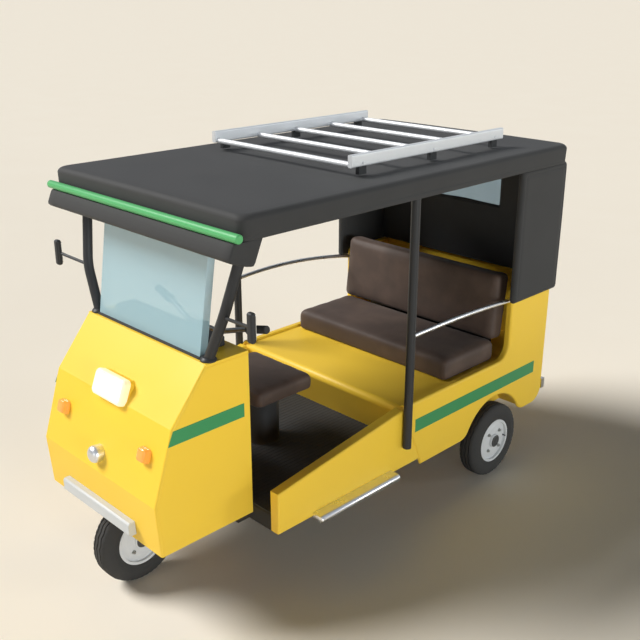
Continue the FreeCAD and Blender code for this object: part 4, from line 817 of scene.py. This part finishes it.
def curtain(name, place, way, up, half_a, half_b, thick, node):
    """A padded curtain: rounded edge, a line sewn round it and faces that wander a little."""
    r = thick / 2
    side = [(r * (1 - math.cos(t)), r * math.sin(t)) for t in
            (math.pi / 2 * k / 4 for k in range(5))]
    face = [(inset, r - depth) for inset, depth in SEWN_LINE] + [(min(half_a, half_b) * 0.97, r)]
    half_profile = side + face
    profile = [(i, -h) for i, h in half_profile[::-1]] + half_profile[1:]
    bm = moulding(place, way, half_a, half_b, CURTAIN_CORNER, profile, up=up, corner=4,
                  long_side=16, short_side=24)
    for vertex in bm.verts:
        wave = noise.noise(Vector((vertex.co.x * 3, vertex.co.y * 5, vertex.co.z * 2.5)))
        vertex.co += Vector(way) * CURTAIN_WAVE * wave
    obj = piece(name, bm, black_canvas, smooth=60)
    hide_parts(node)
    return obj


side_low, side_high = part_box("side_curtains")
half_y, half_z = (side_high.y - side_low.y) / 2, (side_high.z - side_low.z) / 2
for tag, side in (("left", 1), ("right", -1)):
    curtain(f"side_curtain_{tag}",
            (side * (side_high.x - CURTAIN_THICKNESS / 2), side_low.y + half_y,
             side_low.z + half_z),
            (side, 0, 0), (0, 0, 1), half_y, half_z, CURTAIN_THICKNESS, "side_curtains")

rear_low, rear_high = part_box("rear_curtain")
window_low, window_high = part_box("rear_window")
PANEL_CORNER = 0.012
PANEL_COUNTS = {"corner": 4, "long_side": 24, "short_side": 16}
PANEL_SLACK = 0.96              # share of the box's thickness that it fills
PANEL_WAVE = 0.0014             # how far its faces wander in and out
PANEL = [  # share of the way from its outer edge to the window, share of half its thickness
    (0.0, 0.0), (0.0, 0.6), (0.006, 0.95), (0.02, 1.0), (0.03, 0.95), (0.04, 1.0), (0.25, 1.0),
    (0.5, 1.02), (0.75, 1.0), (0.94, 1.0), (0.96, 0.95), (0.98, 1.0), (0.995, 0.9), (1.0, 0.5),
    (1.0, 0.0)]
rear_y = (rear_low.y + rear_high.y) / 2
panel_half = PANEL_SLACK * (rear_high.y - rear_low.y) / 2
outer = loop(rear_high.x, (rear_high.z - rear_low.z) / 2, PANEL_CORNER, **PANEL_COUNTS)
inner = loop(window_high.x, (window_high.z - window_low.z) / 2, PANEL_CORNER, **PANEL_COUNTS)
outer_z, inner_z = (rear_low.z + rear_high.z) / 2, (window_low.z + window_high.z) / 2
rings = []
for share, out in PANEL + [(s, -o) for s, o in PANEL[::-1][1:-1]]:
    ring = []
    for (ua, va), (ub, vb) in zip(outer, inner):
        u, z = ua + (ub - ua) * share, outer_z + va + (inner_z + vb - outer_z - va) * share
        wave = PANEL_WAVE * noise.noise(Vector((u * 3, 7.0, z * 3)))
        ring.append((u, rear_y + panel_half * out + wave, z))
    rings.append(ring)
rear_curtain = piece("rear_curtain_panel", skin(rings, closed=True), black_canvas, smooth=60)
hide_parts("rear_curtain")
# Clear PVC sheet: bluish, glossy, and hazed in patches where it has been rubbed.
clear_sheet, tree, shader = finish("clear_pvc_sheet", IOR=1.52, Transmission_Weight=0.6)
place = add(tree, "TexCoord").outputs["Object"]
film = add(tree, "TexNoise", {"Vector": place}, Scale=1 / 0.12, Detail=5.0)
tint = add(tree, "Mix", {0: film.outputs[0], COLOUR_A: linear("#A9C8DC"),
                         COLOUR_B: linear("#B6D0E4")}, data_type="RGBA")
smear = add(tree, "MapRange", {"Value": film.outputs[0]}, To_Min=0.05, To_Max=0.25)
feed(tree, shader, Base_Color=tint.outputs[COLOUR_OUT], Roughness=smear.outputs[0])
coat(clear_sheet, "rear_window")
FRAME_LAP = 0.002               # how far its middle lies inside the window's edge
FRAME = ((-0.010, -0.006), (-0.010, 0.006), (-0.002, 0.012), (0.002, 0.012), (0.002, -0.012),
         (-0.002, -0.012))      # distance out, distance aft
rings = []
for u, v in loop(window_high.x - FRAME_LAP, (window_high.z - window_low.z) / 2 - FRAME_LAP,
                 PANEL_CORNER, corner=5, long_side=16, short_side=8):
    away = Vector((u, 0, v)).normalized()
    rings.append([Vector((u, rear_y + aft, inner_z + v)) + away * out for out, aft in FRAME])
piece("rear_window_frame", skin(rings, closed=True), black_rubber)


# ---- Roof rack ------------------------------------------------------------------------------
# Two extruded aluminium rails tied by five tubes, on black blocks of cast alloy bolted through
# the hood to its bows. Rails and tubes are anodised silver over a brushed surface, which leaves
# a faint grain that runs fore and aft.
alloy, tree, shader = finish("silver_anodised_aluminium", Metallic=0.35, IOR=1.5)
place = add(tree, "TexCoord").outputs["Object"]
stretch = add(tree, "Mapping", {"Vector": place}, Scale=(1, 0.02, 1))
# Brush marks are 0.1 mm wide; they are drawn at 2 mm so that they show.
marks = add(tree, "TexNoise", {"Vector": stretch.outputs[0]}, Scale=1 / 0.002, Detail=3.0)
haze = add(tree, "TexNoise", {"Vector": place}, Scale=1 / 0.1, Detail=3.0)
colour = add(tree, "Mix", {0: haze.outputs[0], COLOUR_A: linear("#EDEFF1"),
                           COLOUR_B: linear("#E0E3E6")}, data_type="RGBA")
dull = add(tree, "MapRange", {"Value": marks.outputs[0]}, To_Min=0.32, To_Max=0.52)
bump = add(tree, "Bump", {"Height": marks.outputs[0]}, Strength=0.2, Distance=0.0002)
feed(tree, shader, Base_Color=colour.outputs[COLOUR_OUT], Roughness=dull.outputs[0],
     Normal=bump.outputs[0])
coat(alloy, "rack_rails", "rack_bars")
cast_feet = enamel("black_cast_alloy", "#333435", "#5B564D", 0.6)
coat(cast_feet, "rack_feet")
FOOT_HALF_Y = 0.023             # half the length of a foot
FOOT_BOLT_Z = 0.016             # from the rail's lower edge
rack_low, rack_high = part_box("rack_rails")
feet_low, feet_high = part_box("rack_feet")
bm = bmesh.new()
for y in (feet_low.y + FOOT_HALF_Y, (feet_low.y + feet_high.y) / 2, feet_high.y - FOOT_HALF_Y):
    for side in (-1, 1):
        bolt(bm, (side * rack_high.x, y, rack_low.z + FOOT_BOLT_Z), (side, 0, 0), across=0.010,
             height=0.005)
piece("rack_bolts", bm, alloy)


# ---- Wheels ---------------------------------------------------------------------------------
# 4.00-8 cross-ply tyres with zigzag ribs on pressed steel rims. Each rim is held by four
# nuts round a black hub cap, and a valve stands in its dish.
TREAD_RADIUS = 0.205
TREAD_FALL = 0.9                # fall of the crown, over the square of the distance across


def tread_radius(across):
    """Radius of the tread's crown at a distance from its middle."""
    return TREAD_RADIUS - TREAD_FALL * across ** 2


# Cured tyre rubber: near black and matt, greyer where dust sticks, with a fine grain.
tyre_rubber, tree, shader = finish("cured_tyre_rubber", IOR=1.52)
place = add(tree, "TexCoord").outputs["Object"]
dust = add(tree, "TexNoise", {"Vector": place}, Scale=1 / 0.05, Detail=5.0)
fine = add(tree, "TexNoise", {"Vector": place}, Scale=1 / 0.004, Detail=2.0)
colour = add(tree, "Mix", {0: dust.outputs[0], COLOUR_A: linear("#262626"),
                           COLOUR_B: linear("#3A3835")}, data_type="RGBA")
dull = add(tree, "MapRange", {"Value": dust.outputs[0]}, To_Min=0.7, To_Max=0.92)
bump = add(tree, "Bump", {"Height": fine.outputs[0]}, Strength=0.25, Distance=0.0004)
feed(tree, shader, Base_Color=colour.outputs[COLOUR_OUT], Roughness=dull.outputs[0],
     Normal=bump.outputs[0])
rim_enamel = enamel("silver_wheel_enamel", "#DFE1E3", "#BDB9B0", 0.36)
hub_enamel = enamel("black_hub_enamel", "#46484A", "#5E564A", 0.45)
WHEELS = [  # name, body, side that the disc faces
    ("front", "front_wheel", 1), ("rear_left", "rear_wheel_left", 1),
    ("rear_right", "rear_wheel_right", -1)]
SIDEWALL = [  # distance from the middle, radius, from the bead to the shoulder
    (0.044, 0.1212), (0.0475, 0.124), (0.0495, 0.132), (0.0500, 0.140), (0.0492, 0.1415),
    (0.0498, 0.143), (0.0500, 0.158), (0.0493, 0.170), (0.0470, 0.182), (0.0430, 0.192),
    (0.0385, 0.1985), (0.0335, 0.2025)]
SHOULDER = 0.19                 # radius from which the sidewall is notched
NOTCH = 0.0022                  # depth of its notches
GROOVES = (-0.022, 0.0, 0.022)
GROOVE_DEPTH = 0.006
GROOVE_EDGES = ((-0.0032, 0), (-0.0018, 1), (0.0018, 1), (0.0032, 0))   # across, share of depth
ZIGZAG = 0.003                  # how far the ribs swing to each side
STATIONS = 144                  # sections round the tyre, six to each swing there and back
section = [(-x, radius, 0) for x, radius in SIDEWALL]
for groove in GROOVES:
    section += [(groove + off, tread_radius(groove + off) - deep * GROOVE_DEPTH, 1)
                for off, deep in GROOVE_EDGES]
section += [(x, radius, 0) for x, radius in SIDEWALL[::-1]]
rings = []
for k in range(STATIONS):
    turn = 2 * math.pi * k / STATIONS
    swing = ZIGZAG * (abs(k % 6 - 3) / 1.5 - 1)
    ring = []
    for x, radius, in_tread in section:
        if not in_tread and radius > SHOULDER and k % 3 == 0:
            radius -= NOTCH
        ring.append((x + swing * in_tread, radius * math.cos(turn), radius * math.sin(turn)))
    rings.append(ring)

DISC_X = 0.040                  # from the wheel's middle to the outside of its disc
NUTS, NUT_CIRCLE = 4, 0.066
HUB_CAP_RADIUS = 0.036
HUB_CAP = [(0, -0.001), (0, 0.008), (0.002, 0.013), (0.008, 0.0155), (0.010, 0.0148),
           (0.022, 0.0152), (0.030, 0.0165)]
VALVE_RADIUS = 0.0042
VALVE_CIRCLE = 0.092
VALVE_BACK = 0.012              # how far behind the disc's face the stem starts
VALVE = [(0, 0), (0, 0.014), (0.001, 0.016), (0.001, 0.026), (0.002, 0.027)]
for tag, body, side in WHEELS:
    low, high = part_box(f"{tag}_tyre")
    hub = (low + high) / 2
    tyre = piece(f"{tag}_tyre_tread", skin(rings, closed=True), tyre_rubber, body, smooth=30)
    tyre.location = hub
    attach(tyre, body)
    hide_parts(f"{tag}_tyre")
    coat(rim_enamel, f"{tag}_rim")

    disc = hub.x + side * DISC_X
    bm = bmesh.new()
    for k in range(NUTS):
        turn = math.pi / 4 + 2 * math.pi * k / NUTS
        bolt(bm, (disc, hub.y + NUT_CIRCLE * math.cos(turn), hub.z + NUT_CIRCLE * math.sin(turn)),
             (side, 0, 0), across=0.014, height=0.010)
    piece(f"{tag}_wheel_nuts", bm, zinc_plate, body)
    cap = piece(f"{tag}_hub_cap", turned((disc, hub.y, hub.z), (side, 0, 0), HUB_CAP_RADIUS,
                                         HUB_CAP, 12), hub_enamel, body)
    stem = Vector((disc - side * VALVE_BACK, hub.y + VALVE_CIRCLE, hub.z))
    valve = piece(f"{tag}_tyre_valve", turned(stem, (side, 0, 0), VALVE_RADIUS, VALVE, 3),
                  black_rubber, body)


# ---- Handlebar and grips --------------------------------------------------------------------
# A bent steel tube in grey satin plate, with moulded rubber grips ribbed for the hand and
# flanged at the inner end.
bar_steel = plating("satin_plated_bar", "#8C8E90", 0.35)
coat(bar_steel, "handlebar")
GRIP_WAY = Vector((122, 7, 29)).normalized()    # from the left grip's inner end to its tip
GRIP_LONG = 0.116
GRIP_RADIUS = 0.018
FLANGE = [(0.002, 0.0), (-0.006, 0.001), (-0.006, 0.005), (0.0, 0.007)]     # inset, distance on
GRIP_GROOVE = [(0.0, 0.0), (0.0016, 0.0015), (0.0016, 0.004), (0.0, 0.0055)]
TIP = [(0.0, 0.005), (0.002, 0.001), (0.006, 0.0)]      # inset, distance back from the tip
GRIP_GROOVES = 11
FIRST_GROOVE, GROOVE_PITCH = 0.014, 0.0085
profile = list(FLANGE)
for k in range(GRIP_GROOVES):
    start = FIRST_GROOVE + k * GROOVE_PITCH
    profile += [(inset, start + along) for inset, along in GRIP_GROOVE]
profile += [(inset, GRIP_LONG - back) for inset, back in TIP]
grip_points = [v.co for v in nodes["handlebar_grips"].data.vertices if v.co.x > 0]
corner_low = Vector([min(p[i] for p in grip_points) for i in range(3)])
corner_high = Vector([max(p[i] for p in grip_points) for i in range(3)])
middle = (corner_low + corner_high) / 2
bm = bmesh.new()
for side in (-1, 1):
    way = Vector((GRIP_WAY.x * side, GRIP_WAY.y, GRIP_WAY.z))
    start = Vector((middle.x * side, middle.y, middle.z)) - way * GRIP_LONG / 2
    turned(start, way, GRIP_RADIUS, profile, 6, bm=bm)
grips = piece("ribbed_grips", bm, black_rubber, "steering", smooth=25)
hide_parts("handlebar_grips")


# ---- Studio ---------------------------------------------------------------------------------
# A cream floor that runs out of view, a broad soft key from the front right of the vehicle, low
# fills from its left and front, weak ones behind it, and a little light all round. The camera
# and clear glass see a backdrop as bright as the floor; gloss sees a cooler, dimmer one.
floor_paper, tree, shader = finish("cream_studio_floor", Roughness=0.9, IOR=1.3)
place = add(tree, "TexCoord").outputs["Object"]
mottle = add(tree, "TexNoise", {"Vector": place}, Scale=1 / 0.8, Detail=3.0)
colour = add(tree, "Mix", {0: mottle.outputs[0], COLOUR_A: linear("#FCF4E5"),
                           COLOUR_B: linear("#FAF1E1")}, data_type="RGBA")
feed(tree, shader, Base_Color=colour.outputs[COLOUR_OUT])
FLOOR_HALF = 400
bm = bmesh.new()
bmesh.ops.create_grid(bm, x_segments=8, y_segments=8, size=FLOOR_HALF)
floor_mesh = bpy.data.meshes.new("studio_floor")
bm.to_mesh(floor_mesh)
bm.free()
floor_mesh.materials.append(floor_paper)
floor = bpy.data.objects.new("studio_floor", floor_mesh)
bpy.context.scene.collection.objects.link(floor)

AMBIENT = 0.012                 # strength of the light that comes from all round
REFLECTED = 0.45                # strength of the backdrop that gloss reflects
world = bpy.data.worlds.new("studio")
bpy.context.scene.world = world
world.use_nodes = True
tree = world.node_tree
ray = add(tree, "LightPath")
seen = add(tree, "Math", {0: ray.outputs["Is Camera Ray"], 1: ray.outputs["Is Transmission Ray"]},
           operation="MAXIMUM")
paper = add(tree, "Mix", {0: seen.outputs[0], COLOUR_A: linear("#E8EEF8"),
                          COLOUR_B: linear("#F2E8D5")}, data_type="RGBA")
level = add(tree, "MapRange", {"Value": seen.outputs[0]}, To_Min=AMBIENT, To_Max=1.0)
bright = add(tree, "MapRange", {"Value": ray.outputs["Is Glossy Ray"]}, To_Max=REFLECTED)
level = add(tree, "Math", {0: level.outputs[0], 1: bright.outputs[0]}, operation="MAXIMUM")
feed(tree, tree.nodes["Background"], Color=paper.outputs[COLOUR_OUT], Strength=level.outputs[0])

LAMPS = [  # name, strength, spread in degrees, colour, the way that it lies from the vehicle
    ("key_softbox", 3.7, 25, (1.0, 0.99, 0.975), (-0.60, -0.45, 0.67)),
    ("side_softbox", 1.4, 16, (0.92, 0.975, 1.0), (0.975, -0.17, 0.085)),
    ("rim_softbox", 0.5, 14, (0.95, 0.985, 1.0), (0.70, 0.70, 0.15)),
    ("front_softbox", 0.33, 30, (0.97, 0.99, 1.0), (0.25, -0.95, 0.14)),
    ("back_softbox", 0.12, 40, (0.9, 0.96, 1.0), (-0.14, 0.81, 0.57))]
for name, strength, spread, tone, place in LAMPS:
    lamp = bpy.data.lights.new(name, "SUN")
    lamp.energy, lamp.angle, lamp.color = strength, math.radians(spread), tone
    light = bpy.data.objects.new(name, lamp)
    light.rotation_euler = Vector(place).to_track_quat("Z", "Y").to_euler()
    bpy.context.scene.collection.objects.link(light)

AZIMUTH, ELEVATION, DISTANCE = math.radians(45.335), math.radians(20.596), 5.0
TARGET = Vector((-0.2928, 0.3604, 0.7843))
SENSOR, FIELD_OF_VIEW = 36, math.radians(39.38)
camera_data = bpy.data.cameras.new("camera")
camera_data.sensor_width = SENSOR
camera_data.lens = SENSOR / 2 / math.tan(FIELD_OF_VIEW / 2)
camera_data.clip_end = 3 * FLOOR_HALF
camera = bpy.data.objects.new("camera", camera_data)
away = Vector((math.sin(AZIMUTH) * math.cos(ELEVATION), -math.cos(AZIMUTH) * math.cos(ELEVATION),
               math.sin(ELEVATION)))
camera.location = TARGET + away * DISTANCE
camera.rotation_euler = away.to_track_quat("Z", "Y").to_euler()
bpy.context.scene.collection.objects.link(camera)
bpy.context.scene.camera = camera
bpy.context.scene.view_settings.view_transform = "Standard"
